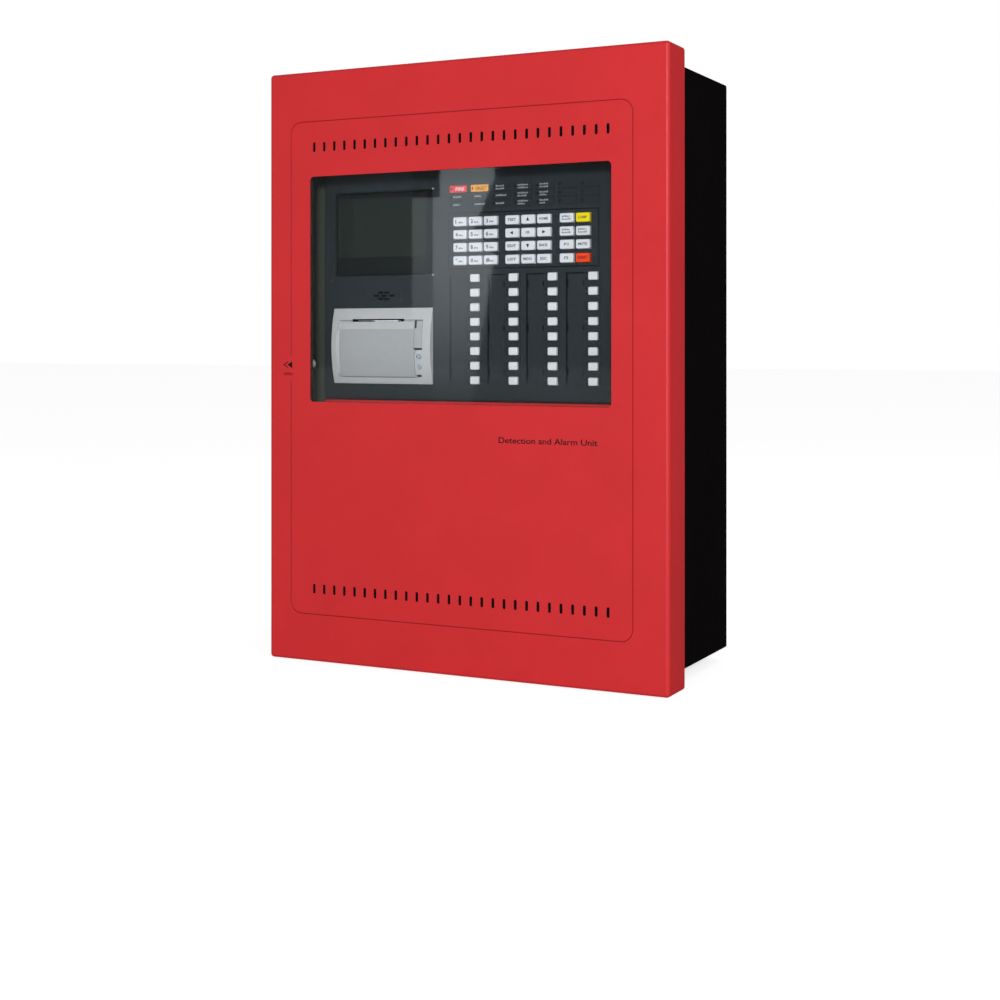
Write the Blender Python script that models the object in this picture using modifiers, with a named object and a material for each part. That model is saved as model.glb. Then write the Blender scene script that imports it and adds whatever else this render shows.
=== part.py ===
"""A wall-mounted fire alarm control panel, modelled as the separate pieces it is assembled from.

Design coordinates are millimetres: x from the panel's left edge, depth behind the door's front face,
and z above the door's bottom edge. The world frame is in metres, with +Z up, the door facing -Y and
its origin at the centre of the back plate's rear face, where the panel meets the wall.
"""

import math

import bmesh
import bpy
from mathutils import Matrix, Vector

MM = 0.001
GAP = 0.3  # between neighbouring pieces

# The whole panel
WIDTH = 510.0
HEIGHT = 700.0
DEPTH = 235.0
SHEET = 1.5

# Door pan, window and vents
DOOR_DEPTH = 48.0
DOOR_FOLD = 4.0
WINDOW_X = (57.0, 443.5)
WINDOW_Z = (308.0, 575.0)
WINDOW_CORNER = 5.0
PANE_LAP = 7.0
PANE_DEPTH = (1.8, 4.8)
RETAINER_LAP = 10.0
RETAINER_DEPTH = (5.1, 8.0)
VENT_COUNT = 28
VENT_FIRST_X = 63.0
VENT_PITCH = 13.95
VENT_SIZE = (3.0, 11.0)
VENT_ROWS_Z = (610.0, 86.3)
GROOVE_X = (30.5, 468.5)
GROOVE_Z = (56.0, 640.5)
GROOVE_CORNER = 14.0
GROOVE_WIDTH = 1.3
GROOVE_CUT = 0.5
GROOVE_BREAK_Z = (332.5, 362.5)

# Back box
BOX_X = (14.0, 496.0)
BOX_Z = (14.0, 686.0)
BOX_FRONT = 42.0
BOX_LIP = 19.0
BOX_FOLD = 2.0
WALL_SCREW_X = (55.0, 455.0)
WALL_SCREW_Z = (60.0, 640.0)
WALL_SCREW_RADIUS = 2.75
CABLE_ENTRY_X = (155.0, 355.0)
CABLE_ENTRY_Z = (600.0, 650.0)
CABLE_ENTRY_CORNER = 4.0

# Lift-off hinges on the right-hand side
HINGE_X = 505.0
HINGE_DEPTH = 43.0
HINGE_SPANS_Z = {"lower": (120.0, 180.0), "upper": (520.0, 580.0)}
KNUCKLE_RADIUS = 3.2
HINGE_PIN_RADIUS = 1.6
HINGE_BORE_RADIUS = 2.0
HINGE_LEAF = 1.7
HINGE_WEB = 2.0
HINGE_TONGUE = 1.3
HINGE_PIN_ENDS = (2.0, 3.0)
BOX_LEAF_BACK = 62.0
DOOR_LEAF_FRONT = 12.0

# Cam lock in the door's left-hand side
LOCK_DEPTH = 30.0
LOCK_Z = 353.0
LOCK_HEAD_RADIUS = 11.0
LOCK_HEAD_X = (-2.1, -0.3)
LOCK_BODY_RADIUS = 9.0
LOCK_BODY_X = (-1.0, 34.0)
LOCK_BORE_RADIUS = 6.6
BARREL_RADIUS = 6.2
BARREL_X = (-1.8, 43.5)
BARREL_BOSS_RADIUS = 5.0
BARREL_NECK_RADIUS = 3.5
KEYWAY_SIZE = (5.0, 1.4, 7.0)
CAM_X = (37.7, 40.3)
CAM_REACH = 17.0
CAM_HOOK = 3.0
CAM_WIDTH = 10.0
CAM_EYE_RADIUS = 8.0
CAM_HOLE_RADIUS = 3.8
STRIKE_NOTCH_X = 27.0
STRIKE_NOTCH_Z = (339.0, 350.0)

# Inner plate, covers and boards
PLATE_X = (17.0, 493.0)
PLATE_Z = (17.0, 683.0)
PLATE_DEPTH = (64.0, 80.0)
PLATE_FOLD = 2.0
PLATE_SLOT_X = (180.0, 330.0)
PLATE_SLOT_Z = (610.0, 650.0)
PLATE_SLOT_CORNER = 6.0
FACIA_X = (46.0, 454.0)
FACIA_Z = (309.7, 585.0)
FACIA_DEPTH = (50.0, 63.7)
FACIA_SKIN = 2.5
FACIA_FOLD = 2.8
COVER_Z = (30.0, 309.2)
COVER_DEPTH = (50.5, 63.7)
COVER_FOLD = 2.0
BOARD_X = (60.0, 450.0)
BOARD_Z = (314.0, 582.0)
BOARD_DEPTH = (58.0, 59.6)
SOUNDER_CENTRE = (129.7, 434.2)
SOUNDER_RADIUS = 15.0
SOUNDER_DEPTH = (53.2, 58.2)
TERMINALS_X = (215.0, 440.0)
TERMINALS_Z = (316.0, 324.0)
TERMINALS_BACK = 63.0

# Display recess and sounder grille
DISPLAY_X = (61.7, 196.4)
DISPLAY_Z = (458.3, 558.9)
DISPLAY_FLOOR = 56.0
DISPLAY_BACK = 57.7
DISPLAY_GAP = 0.4
DISPLAY_WALL = 1.0
GRILLE_OVALS = (
    (125.6, 438.0), (133.9, 438.0), (119.4, 434.2), (129.7, 434.2), (140.8, 434.2),
    (125.3, 430.3), (133.6, 430.3),
)
GRILLE_OVAL_SIZE = (6.4, 2.2)

# Keypad: rows are listed top first, columns left first
KEY_ROWS_Z = (519.0, 504.0, 489.0, 473.7)
NUMERIC_COLUMNS_X = (234.1, 254.1, 274.0)
NAVIGATION_COLUMNS_X = (301.7, 321.9, 341.9)
FUNCTION_COLUMNS_X = (370.1, 390.1)
KEY_CAP = (17.0, 10.5)
KEY_FLANGE_LAP = 0.8
KEY_FRONT = 46.5
KEY_FLANGE_DEPTH = (52.8, 53.8)
KEY_STEM_INSET = 4.0
KEY_STEM_BACK = 56.2
KEY_HOLE_GAP = 0.4

# Zone keys, moulded as one rubber mat
ZONE_COLUMNS_X = (253.2, 302.9, 352.2, 402.2)
ZONE_FIRST_Z = 453.1
ZONE_PITCH_Z = 16.95
ZONE_ROWS = 8
ZONE_KEY = (11.2, 9.0)
ZONE_KEY_FRONT = 46.8
ZONE_MAT_X = (245.0, 412.0)
ZONE_MAT_Z = (328.0, 460.5)
ZONE_MAT_DEPTH = (53.0, 54.5)

# Panel printer: its faces follow one arc seen from the side
PRINTER_X = (61.0, 197.2)
PRINTER_Z = (329.0, 419.4)
PRINTER_RIM_DEPTH = 48.9
PRINTER_CROWN_DEPTH = 41.9
PRINTER_BACK = 49.7
PRINTER_SKIN = 2.2
PAPER_DOOR_X = (72.0, 175.0)
PAPER_DOOR_Z = (336.9, 404.7)
PAPER_DOOR_PIVOT_Z = 339.0
NOSE_RADIUS = 2.1
STUB_RADIUS = 1.2
STUB_BORE_RADIUS = 1.5
LUG_WIDTH = 3.1
LUG_HEIGHT = 6.0
LUG_BACK = 51.8
LEVER_X = (175.6, 186.0)
LEVER_Z = (371.7, 404.4)
LEVER_PIVOT_Z = 402.3
LEVER_FINGER_GAP = 2.1
PRINTER_BUTTON_X = 182.0
PRINTER_BUTTONS_Z = {"printer_feed_button": 361.5, "printer_select_button": 349.4}
PRINTER_BUTTON_RADIUS = 2.5
PRINTER_HOLE_X = (67.0, 190.6)
PRINTER_HOLE_Z = (334.6, 412.0)
MECHANISM_X = (68.5, 189.5)
MECHANISM_Z = (335.5, 411.0)
MECHANISM_DEPTH = (53.1, 101.0)
HEAD_X = (88.0, 160.0)
HEAD_Z = 402.5
PLATEN_Z = 397.0
PLATEN_DEPTH = 54.0
PLATEN_RADIUS = 5.0
PLATEN_X = (94.0, 155.6)
PLATEN_AXLE_RADIUS = 1.9
PLATEN_AXLE_X = (82.0, 168.0)
PLATEN_EARS_X = ((84.0, 87.0), (163.0, 166.0))
PAPER_ROLL_X = (96.3, 153.3)
PAPER_ROLL_RADIUS = 20.0
PAPER_CORE_RADIUS = 6.0
PAPER_ROLL_CENTRE = (79.0, 357.6)

# Power supply and standby batteries on the box's floor and back
SUPPLY_X = (300.0, 459.0)
SUPPLY_Z = (200.0, 297.0)
SUPPLY_DEPTH = (193.0, 231.0)
BATTERY_WIDTH = 181.0
BATTERY_LEFTS_X = (24.0, 210.0)
BATTERY_DEPTH = (150.0, 227.0)
BATTERY_Z = (16.0, 178.0)

ROUND_STEPS = 24
TINY = 1e-6  # metres, for telling coordinates apart

# Colour, roughness and metallic value of each finish
RED_PAINT = ((0.58, 0.032, 0.037), 0.45, 0.0)
BLACK_PAINT = ((0.012, 0.012, 0.013), 0.55, 0.0)
ZINC = ((0.42, 0.43, 0.41), 0.4, 1.0)
STEEL = ((0.60, 0.60, 0.58), 0.3, 1.0)
OLIVE_PAINT = ((0.075, 0.085, 0.07), 0.5, 0.0)
CHARCOAL = ((0.035, 0.043, 0.05), 0.6, 0.0)
BLACK_PLASTIC = ((0.010, 0.011, 0.011), 0.4, 0.0)
LIGHT_GREY = ((0.42, 0.43, 0.44), 0.5, 0.0)
KEY_WHITE = ((0.70, 0.74, 0.78), 0.45, 0.0)
KEY_YELLOW = ((0.80, 0.52, 0.08), 0.45, 0.0)
KEY_RED = ((0.70, 0.10, 0.05), 0.45, 0.0)
CLEAR = ((0.90, 0.94, 0.93), 0.05, 0.0)
RUBBER = ((0.02, 0.02, 0.02), 0.7, 0.0)
PAPER = ((0.85, 0.85, 0.82), 0.8, 0.0)
BOARD_GREEN = ((0.02, 0.12, 0.05), 0.5, 0.0)


def clear_scene():
    for obj in list(bpy.data.objects):
        bpy.data.objects.remove(obj, do_unlink=True)


def new_collection(name):
    collection = bpy.data.collections.new(name)
    bpy.context.scene.collection.children.link(collection)
    return collection


def to_world(x, depth, z):
    return Vector((x - WIDTH / 2, depth - DEPTH, z - HEIGHT / 2)) * MM


def middle(pair):
    return (pair[0] + pair[1]) / 2


def grown(pair, by):
    """The span made longer by the same length at both ends."""
    return (pair[0] - by, pair[1] + by)


def around(centre, size):
    return (centre - size / 2, centre + size / 2)


def add_block(bm, x, depth, z, radius=0.0, axis="Y", segments=4):
    """Adds a box between three spans, with the four edges along one axis rounded."""
    low = to_world(x[0], depth[0], z[0])
    high = to_world(x[1], depth[1], z[1])
    matrix = Matrix.Translation((low + high) / 2) @ Matrix.Diagonal((high - low).to_4d())
    matrix[3][3] = 1.0
    verts = bmesh.ops.create_cube(bm, size=1.0, matrix=matrix)["verts"]
    if radius:
        along = "XYZ".index(axis)
        edges = {edge for vert in verts for edge in vert.link_edges}
        others = [index for index in range(3) if index != along]
        kept = [
            edge for edge in edges
            if all(abs(edge.verts[0].co[i] - edge.verts[1].co[i]) < TINY for i in others)
        ]
        bmesh.ops.bevel(
            bm, geom=kept, offset=radius * MM, segments=segments, profile=0.5, affect="EDGES"
        )


def add_cylinder(bm, centre, radius, length, axis="X", steps=ROUND_STEPS):
    """Adds a closed cylinder about an axis through centre, given as (x, depth, z)."""
    turns = {"X": Matrix.Rotation(math.pi / 2, 4, "Y"), "Y": Matrix.Rotation(math.pi / 2, 4, "X")}
    turn = turns.get(axis, Matrix.Identity(4))
    bmesh.ops.create_cone(
        bm, cap_ends=True, segments=steps, radius1=radius * MM, radius2=radius * MM,
        depth=length * MM, matrix=Matrix.Translation(to_world(*centre)) @ turn,
    )


def block(*spans, **rounding):
    bm = bmesh.new()
    add_block(bm, *spans, **rounding)
    return bm


def cylinder(*sizes, **options):
    bm = bmesh.new()
    add_cylinder(bm, *sizes, **options)
    return bm


def finish_material(name, finish):
    colour, roughness, metallic = finish
    material = bpy.data.materials.new(name)
    material.use_nodes = True
    shader = material.node_tree.nodes["Principled BSDF"]
    shader.inputs["Base Color"].default_value = (*colour, 1.0)
    shader.inputs["Roughness"].default_value = roughness
    shader.inputs["Metallic"].default_value = metallic
    return material


def mesh_from(bm, name, origin):
    bmesh.ops.translate(bm, verts=bm.verts, vec=-origin)
    bmesh.ops.recalc_face_normals(bm, faces=bm.faces)
    mesh = bpy.data.meshes.new(name)
    bm.to_mesh(mesh)
    bm.free()
    return mesh


def origin_of(obj):
    """The world position of an object that nothing rotates."""
    return obj.location + (origin_of(obj.parent) if obj.parent else Vector())


def put(obj, origin, parent):
    obj.location = origin - (origin_of(parent) if parent else Vector())
    obj.parent = parent


def add_node(name, bm, finish, origin=None, parent=None):
    """Makes one named piece from a bmesh in world coordinates, with its origin on its joint's axis."""
    base = origin or (origin_of(parent) if parent else Vector())
    obj = bpy.data.objects.new(name, mesh_from(bm, name, base))
    obj.data.materials.append(finish_material(name, finish))
    obj.data.shade_smooth()
    obj.data.set_sharp_from_angle(angle=math.radians(35))
    put(obj, base, parent)
    PANEL.objects.link(obj)
    return obj


def add_pivot(name, origin, parent=None):
    pivot = bpy.data.objects.new(name, None)
    put(pivot, origin, parent)
    PANEL.objects.link(pivot)
    return pivot


def helper(name, bm):
    """A cutter or an addition, kept out of the model itself."""
    obj = bpy.data.objects.new(name, mesh_from(bm, name, Vector()))
    obj.display_type = "WIRE"
    obj.hide_render = True
    CUTTERS.objects.link(obj)
    return obj


def combine(obj, operation, bm, name):
    modifier = obj.modifiers.new(name, "BOOLEAN")
    modifier.operation = operation
    modifier.solver = "EXACT"
    modifier.object = helper(f"{obj.name}_{name}", bm)


def cut(obj, bm, name):
    combine(obj, "DIFFERENCE", bm, name)


def join(obj, bm, name):
    combine(obj, "UNION", bm, name)


def turned_node(name, profile, origin, finish, parent=None, closed=False):
    """A piece turned about the world X axis: (radius, x) points, from its right end to its left."""
    bm = bmesh.new()
    verts = [bm.verts.new((radius * MM, 0.0, x * MM - origin.x - WIDTH / 2 * MM)) for radius, x in profile]
    for first, second in zip(verts, verts[1:] + verts[:1] if closed else verts[1:]):
        bm.edges.new((first, second))
    mesh = bpy.data.meshes.new(name)
    bm.to_mesh(mesh)
    bm.free()
    obj = bpy.data.objects.new(name, mesh)
    obj.data.materials.append(finish_material(name, finish))
    put(obj, origin, parent)
    obj.rotation_euler = (0.0, math.pi / 2, 0.0)
    PANEL.objects.link(obj)
    screw = obj.modifiers.new("turned", "SCREW")
    screw.axis = "Z"
    screw.steps = ROUND_STEPS
    screw.render_steps = ROUND_STEPS
    screw.use_merge_vertices = True
    screw.merge_threshold = 0.00001
    screw.use_smooth_shade = False
    return obj


def side_outline(points, x):
    """A bmesh prism along X from an outline of (depth, z) points, filled as a flat curve."""
    curve = bpy.data.curves.new("outline", "CURVE")
    curve.dimensions = "2D"
    curve.fill_mode = "BOTH"
    curve.extrude = (x[1] - x[0]) / 2 * MM
    spline = curve.splines.new("POLY")
    spline.points.add(len(points) - 1)
    for point, (depth, z) in zip(spline.points, points):
        point.co = ((depth - DEPTH) * MM, (z - HEIGHT / 2) * MM, 0.0, 1.0)
    spline.use_cyclic_u = True
    obj = bpy.data.objects.new("outline", curve)
    bpy.context.scene.collection.objects.link(obj)
    graph = bpy.context.evaluated_depsgraph_get()
    mesh = bpy.data.meshes.new_from_object(obj.evaluated_get(graph))
    bm = bmesh.new()
    bm.from_mesh(mesh)
    bmesh.ops.remove_doubles(bm, verts=bm.verts, dist=1e-6)
    # The curve's own axes (right, up, out) become depth, height and width.
    upright = Matrix(((0, 0, 1, 0), (1, 0, 0, 0), (0, 1, 0, 0), (0, 0, 0, 1)))
    shift = Matrix.Translation(((middle(x) - WIDTH / 2) * MM, 0, 0))
    bmesh.ops.transform(bm, matrix=shift @ upright, verts=bm.verts)
    bpy.data.objects.remove(obj, do_unlink=True)
    bpy.data.curves.remove(curve)
    bpy.data.meshes.remove(mesh)
    return bm


def open_pan(x, depth, z, fold, lip=0.0, open_side="back"):
    """A five-sided open surface for Solidify, its folds rounded, with an optional lip round the mouth."""
    bm = block(x, depth, z)
    side = 1 if open_side == "back" else -1
    mouth = max(bm.faces, key=lambda face: face.calc_center_median().y * side)
    if lip:
        bmesh.ops.inset_region(bm, faces=[mouth], thickness=lip * MM, use_even_offset=True)
    bmesh.ops.delete(bm, geom=[mouth], context="FACES_ONLY" if lip else "FACES")
    folds = [edge for edge in bm.edges if not edge.is_boundary and edge.calc_face_angle(0) > 1.0]
    if fold:
        bmesh.ops.bevel(bm, geom=folds, offset=fold * MM, segments=3, profile=0.5, affect="EDGES")
    return bm


def solidify(obj, thickness):
    modifier = obj.modifiers.new("sheet", "SOLIDIFY")
    modifier.thickness = thickness * MM
    modifier.offset = -1.0
    modifier.use_even_offset = True


def make_door(pivot):
    pan = open_pan((0.0, WIDTH), (0.0, DOOR_DEPTH), (0.0, HEIGHT), DOOR_FOLD)
    door = add_node("door", pan, RED_PAINT, parent=pivot)
    solidify(door, SHEET)
    front = (-SHEET, 3 * SHEET)
    cut(door, block(WINDOW_X, front, WINDOW_Z, radius=WINDOW_CORNER), "window")
    vents = bmesh.new()
    for row_z in VENT_ROWS_Z:
        for column in range(VENT_COUNT):
            x = around(VENT_FIRST_X + column * VENT_PITCH, VENT_SIZE[0])
            add_block(vents, x, front, around(row_z, VENT_SIZE[1]), radius=1.45, segments=2)
    cut(door, vents, "vents")
    cut(door, cylinder((0.0, LOCK_DEPTH, LOCK_Z), LOCK_BODY_RADIUS + GAP, 4 * SHEET), "lock_hole")
    cut(door, groove_ring(), "groove")


def groove_ring():
    """The shallow pressed line round the door's front, broken at the left beside the lock."""
    outer = helper("groove_outer", block(
        grown(GROOVE_X, GROOVE_WIDTH / 2), (-1.0, GROOVE_CUT), grown(GROOVE_Z, GROOVE_WIDTH / 2),
        radius=GROOVE_CORNER + GROOVE_WIDTH / 2, segments=6,
    ))
    inner = block(
        grown(GROOVE_X, -GROOVE_WIDTH / 2), (-2.0, 2.0), grown(GROOVE_Z, -GROOVE_WIDTH / 2),
        radius=GROOVE_CORNER - GROOVE_WIDTH / 2, segments=6,
    )
    cut(outer, inner, "inside")
    cut(outer, block(around(GROOVE_X[0], 4.0), (-2.0, 2.0), GROOVE_BREAK_Z), "break")
    graph = bpy.context.evaluated_depsgraph_get()
    bm = bmesh.new()
    bm.from_object(outer, graph)
    return bm


def make_window(pivot):
    pane = block(
        grown(WINDOW_X, PANE_LAP), PANE_DEPTH, grown(WINDOW_Z, PANE_LAP), radius=WINDOW_CORNER
    )
    add_node("window_pane", pane, CLEAR, parent=pivot)
    frame = block(
        grown(WINDOW_X, RETAINER_LAP), RETAINER_DEPTH, grown(WINDOW_Z, RETAINER_LAP),
        radius=WINDOW_CORNER,
    )
    retainer = add_node("window_retainer", frame, BLACK_PLASTIC, parent=pivot)
    inside = block(WINDOW_X, grown(RETAINER_DEPTH, 2.0), WINDOW_Z, radius=WINDOW_CORNER)
    cut(retainer, inside, "inside")


def make_hinge(which, span, pivot):
    """One lift-off hinge: the box leaf carries the pin, and the door leaf's knuckle drops over it."""
    split = middle(span)
    low = (span[0], split - GAP / 2)
    high = (split + GAP / 2, span[1])
    plate_x = (BOX_X[1] + GAP, BOX_X[1] + GAP + HINGE_LEAF)
    web_depth = (HINGE_DEPTH - KNUCKLE_RADIUS, HINGE_DEPTH - KNUCKLE_RADIUS + HINGE_WEB)
    leaf_depth = (web_depth[0], BOX_LEAF_BACK)
    box_leaf = add_node(f"{which}_hinge_box_leaf", block(plate_x, leaf_depth, span), ZINC)
    join(box_leaf, block((plate_x[0], HINGE_X), web_depth, low), "web")
    centre = (HINGE_X, HINGE_DEPTH, middle(low))
    join(box_leaf, cylinder(centre, KNUCKLE_RADIUS, low[1] - low[0], axis="Z"), "knuckle")
    pin_span = (low[0] + HINGE_PIN_ENDS[0], span[1] - HINGE_PIN_ENDS[1])
    pin_centre = (HINGE_X, HINGE_DEPTH, middle(pin_span))
    join(box_leaf, cylinder(pin_centre, HINGE_PIN_RADIUS, pin_span[1] - pin_span[0], axis="Z"), "pin")

    leaf_x = (HINGE_X + HINGE_TONGUE, WIDTH - SHEET - GAP)
    leaf_back = HINGE_DEPTH - KNUCKLE_RADIUS - GAP
    door_leaf = add_node(
        f"{which}_hinge_door_leaf", block(leaf_x, (DOOR_LEAF_FRONT, leaf_back), span), ZINC,
        parent=pivot,
    )
    join(door_leaf, block(leaf_x, (leaf_back - 1.0, HINGE_DEPTH), high), "tongue")
    centre = (HINGE_X, HINGE_DEPTH, middle(high))
    join(door_leaf, cylinder(centre, KNUCKLE_RADIUS, high[1] - high[0], axis="Z"), "knuckle")
    cut(door_leaf, cylinder(centre, HINGE_BORE_RADIUS, high[1] - high[0] + 4.0, axis="Z"), "bore")


def lock_disc(x, radius):
    """A disc or bar on the lock's axis between two x positions."""
    return cylinder((middle(x), LOCK_DEPTH, LOCK_Z), radius, x[1] - x[0])


def make_lock(door_pivot):
    """The lock's tube in the door, and the barrel and cranked cam that a key turns."""
    centre = to_world(0.0, LOCK_DEPTH, LOCK_Z)
    housing = add_node(
        "lock_housing", lock_disc(LOCK_HEAD_X, LOCK_HEAD_RADIUS), STEEL, parent=door_pivot
    )
    join(housing, lock_disc(LOCK_BODY_X, LOCK_BODY_RADIUS), "body")
    cut(housing, lock_disc(grown(LOCK_BODY_X, LOCK_BODY_RADIUS), LOCK_BORE_RADIUS), "bore")

    pivot = add_pivot("lock_pivot", centre, door_pivot)
    neck = grown(CAM_X, GAP)
    profile = [
        (0.0, BARREL_X[1]), (BARREL_BOSS_RADIUS, BARREL_X[1]), (BARREL_BOSS_RADIUS, neck[1]),
        (BARREL_NECK_RADIUS, neck[1]), (BARREL_NECK_RADIUS, neck[0]), (BARREL_RADIUS, neck[0]),
        (BARREL_RADIUS, BARREL_X[0]), (0.0, BARREL_X[0]),
    ]
    barrel = turned_node("lock_barrel", profile, centre, STEEL, parent=pivot)
    depth, width, height = KEYWAY_SIZE
    keyway_x = (BARREL_X[0] - 1.0, depth)
    cut(barrel, block(keyway_x, around(LOCK_DEPTH, width), around(LOCK_Z, height)), "keyway")

    arm_z = (LOCK_Z - CAM_REACH, LOCK_Z)
    width = around(LOCK_DEPTH, CAM_WIDTH)
    cam = add_node("lock_cam", block(CAM_X, width, arm_z), ZINC, origin=centre, parent=pivot)
    join(cam, lock_disc(CAM_X, CAM_EYE_RADIUS), "eye")
    hook_z = (arm_z[0], arm_z[0] + CAM_HOOK)
    join(cam, block((STRIKE_NOTCH_X + 1.0, CAM_X[0] + 1.0), width, hook_z), "hook")
    cut(cam, lock_disc(grown(CAM_X, 2.0), CAM_HOLE_RADIUS), "hole")


def make_back_box():
    shell = open_pan(BOX_X, (BOX_FRONT, DEPTH), BOX_Z, BOX_FOLD, lip=BOX_LIP, open_side="front")
    box = add_node("back_box", shell, BLACK_PAINT)
    solidify(box, SHEET)
    through = (DEPTH - 3 * SHEET, DEPTH + SHEET)
    holes = bmesh.new()
    for x in WALL_SCREW_X:
        for z in WALL_SCREW_Z:
            add_cylinder(holes, (x, DEPTH, z), WALL_SCREW_RADIUS, 6 * SHEET, axis="Y", steps=16)
    cut(box, holes, "wall_screw_holes")
    cut(box, block(CABLE_ENTRY_X, through, CABLE_ENTRY_Z, radius=CABLE_ENTRY_CORNER), "cable_entry")
    notch_x = (STRIKE_NOTCH_X, BOX_X[0] + BOX_LIP + 5.0)
    cut(box, block(notch_x, around(BOX_FRONT, 8.0), STRIKE_NOTCH_Z), "strike_notch")


def make_mounting_plate():
    pan = open_pan(PLATE_X, PLATE_DEPTH, PLATE_Z, PLATE_FOLD)
    plate = add_node("mounting_plate", pan, OLIVE_PAINT)
    solidify(plate, SHEET)
    through = (PLATE_DEPTH[0] - 3.0, PLATE_DEPTH[0] + 5.0)
    window = block(grown(PRINTER_HOLE_X, 1.0), through, grown(PRINTER_HOLE_Z, 1.0), radius=2.0)
    cut(plate, window, "printer_window")
    slot = block(PLATE_SLOT_X, through, PLATE_SLOT_Z, radius=PLATE_SLOT_CORNER)
    cut(plate, slot, "cable_slot")


def make_lower_cover():
    pan = open_pan(FACIA_X, COVER_DEPTH, COVER_Z, COVER_FOLD)
    cover = add_node("lower_cover", pan, RED_PAINT)
    solidify(cover, SHEET)


def key_columns():
    """Each keypad key as (name, column x, row z, finish), column by column."""
    groups = (
        ("numeric", NUMERIC_COLUMNS_X), ("navigation", NAVIGATION_COLUMNS_X),
        ("function", FUNCTION_COLUMNS_X),
    )
    keys = []
    for group, columns in groups:
        for column, x in enumerate(columns):
            for row, z in enumerate(KEY_ROWS_Z):
                finish = KEY_WHITE
                if (group, column, row) == ("function", 1, 0):
                    finish = KEY_YELLOW
                if (group, column, row) == ("function", 1, 3):
                    finish = KEY_RED
                keys.append((f"{group}_key_{row + 1}{column + 1}", x, z, finish))
    return keys


def zone_key_centres():
    return [(x, ZONE_FIRST_Z - row * ZONE_PITCH_Z) for x in ZONE_COLUMNS_X for row in range(ZONE_ROWS)]


def make_facia():
    pan = open_pan(FACIA_X, FACIA_DEPTH, FACIA_Z, FACIA_FOLD)
    facia = add_node("control_facia", pan, CHARCOAL)
    solidify(facia, FACIA_SKIN)
    through = (FACIA_DEPTH[0] - 3.0, FACIA_DEPTH[0] + 4.0)
    cut(facia, block(DISPLAY_X, through, DISPLAY_Z, radius=2.0, segments=2), "display_hole")
    cut(facia, block(PRINTER_HOLE_X, through, PRINTER_HOLE_Z), "printer_hole")
    holes = bmesh.new()
    for _, x, z, _ in key_columns():
        size = (KEY_CAP[0] + 2 * KEY_HOLE_GAP, KEY_CAP[1] + 2 * KEY_HOLE_GAP)
        add_block(holes, around(x, size[0]), through, around(z, size[1]))
    for x, z in zone_key_centres():
        size = (ZONE_KEY[0] + 2 * KEY_HOLE_GAP, ZONE_KEY[1] + 2 * KEY_HOLE_GAP)
        add_block(holes, around(x, size[0]), through, around(z, size[1]))
    cut(facia, holes, "key_holes")
    grille = bmesh.new()
    for x, z in GRILLE_OVALS:
        spans = (around(x, GRILLE_OVAL_SIZE[0]), through, around(z, GRILLE_OVAL_SIZE[1]))
        add_block(grille, *spans, radius=1.05, segments=2)
    cut(facia, grille, "sounder_grille")


def make_display():
    outer = (grown(DISPLAY_X, -DISPLAY_GAP), grown(DISPLAY_Z, -DISPLAY_GAP))
    tray = block(outer[0], (FACIA_DEPTH[0] + 0.6, DISPLAY_BACK), outer[1], radius=1.6, segments=2)
    display = add_node("lcd_module", tray, BLACK_PLASTIC)
    well_depth = (FACIA_DEPTH[0] - 1.0, DISPLAY_FLOOR)
    well = block(grown(outer[0], -DISPLAY_WALL), well_depth, grown(outer[1], -DISPLAY_WALL))
    cut(display, well, "well")


def make_keys():
    for name, x, z, finish in key_columns():
        centre = to_world(x, KEY_FLANGE_DEPTH[0], z)
        size = (KEY_CAP[0] + 2 * KEY_FLANGE_LAP, KEY_CAP[1] + 2 * KEY_FLANGE_LAP)
        bm = block(around(x, size[0]), KEY_FLANGE_DEPTH, around(z, size[1]))
        raise_face(bm, -1, KEY_FLANGE_LAP, KEY_FLANGE_DEPTH[0] - KEY_FRONT)
        raise_face(bm, 1, KEY_STEM_INSET, KEY_STEM_BACK - KEY_FLANGE_DEPTH[1])
        add_node(name, bm, finish, origin=centre)


def raise_face(bm, side, inset, height):
    """Draws a smaller block out of the front (side -1) or back (side 1) of a box."""
    face = max(bm.faces, key=lambda candidate: candidate.normal.y * side)
    bmesh.ops.inset_region(bm, faces=[face], thickness=inset * MM, use_even_offset=True)
    drawn = bmesh.ops.extrude_discrete_faces(bm, faces=[face])["faces"]
    bmesh.ops.translate(bm, verts=drawn[0].verts, vec=(0.0, side * height * MM, 0.0))


def make_zone_mat():
    mat = add_node("zone_key_mat", block(ZONE_MAT_X, ZONE_MAT_DEPTH, ZONE_MAT_Z), KEY_WHITE)
    caps = bmesh.new()
    depth = (ZONE_KEY_FRONT, middle(ZONE_MAT_DEPTH))
    for x, z in zone_key_centres():
        add_block(caps, around(x, ZONE_KEY[0]), depth, around(z, ZONE_KEY[1]))
    join(mat, caps, "caps")


def make_main_board():
    """The circuit board behind the facia, with its sounder and a row of terminals."""
    board = add_node("main_board", block(BOARD_X, BOARD_DEPTH, BOARD_Z), BOARD_GREEN)
    corner = block(
        (BOARD_X[0] - 5.0, 205.0), grown(BOARD_DEPTH, 3.0), (BOARD_Z[0] - 5.0, MECHANISM_Z[1] + 4.0)
    )
    cut(board, corner, "printer_corner")
    centre = (SOUNDER_CENTRE[0], middle(SOUNDER_DEPTH), SOUNDER_CENTRE[1])
    thickness = SOUNDER_DEPTH[1] - SOUNDER_DEPTH[0]
    join(board, cylinder(centre, SOUNDER_RADIUS, thickness, axis="Y"), "sounder")
    terminals = block(TERMINALS_X, (BOARD_DEPTH[1] - 0.5, TERMINALS_BACK), TERMINALS_Z)
    join(board, terminals, "terminals")


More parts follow.
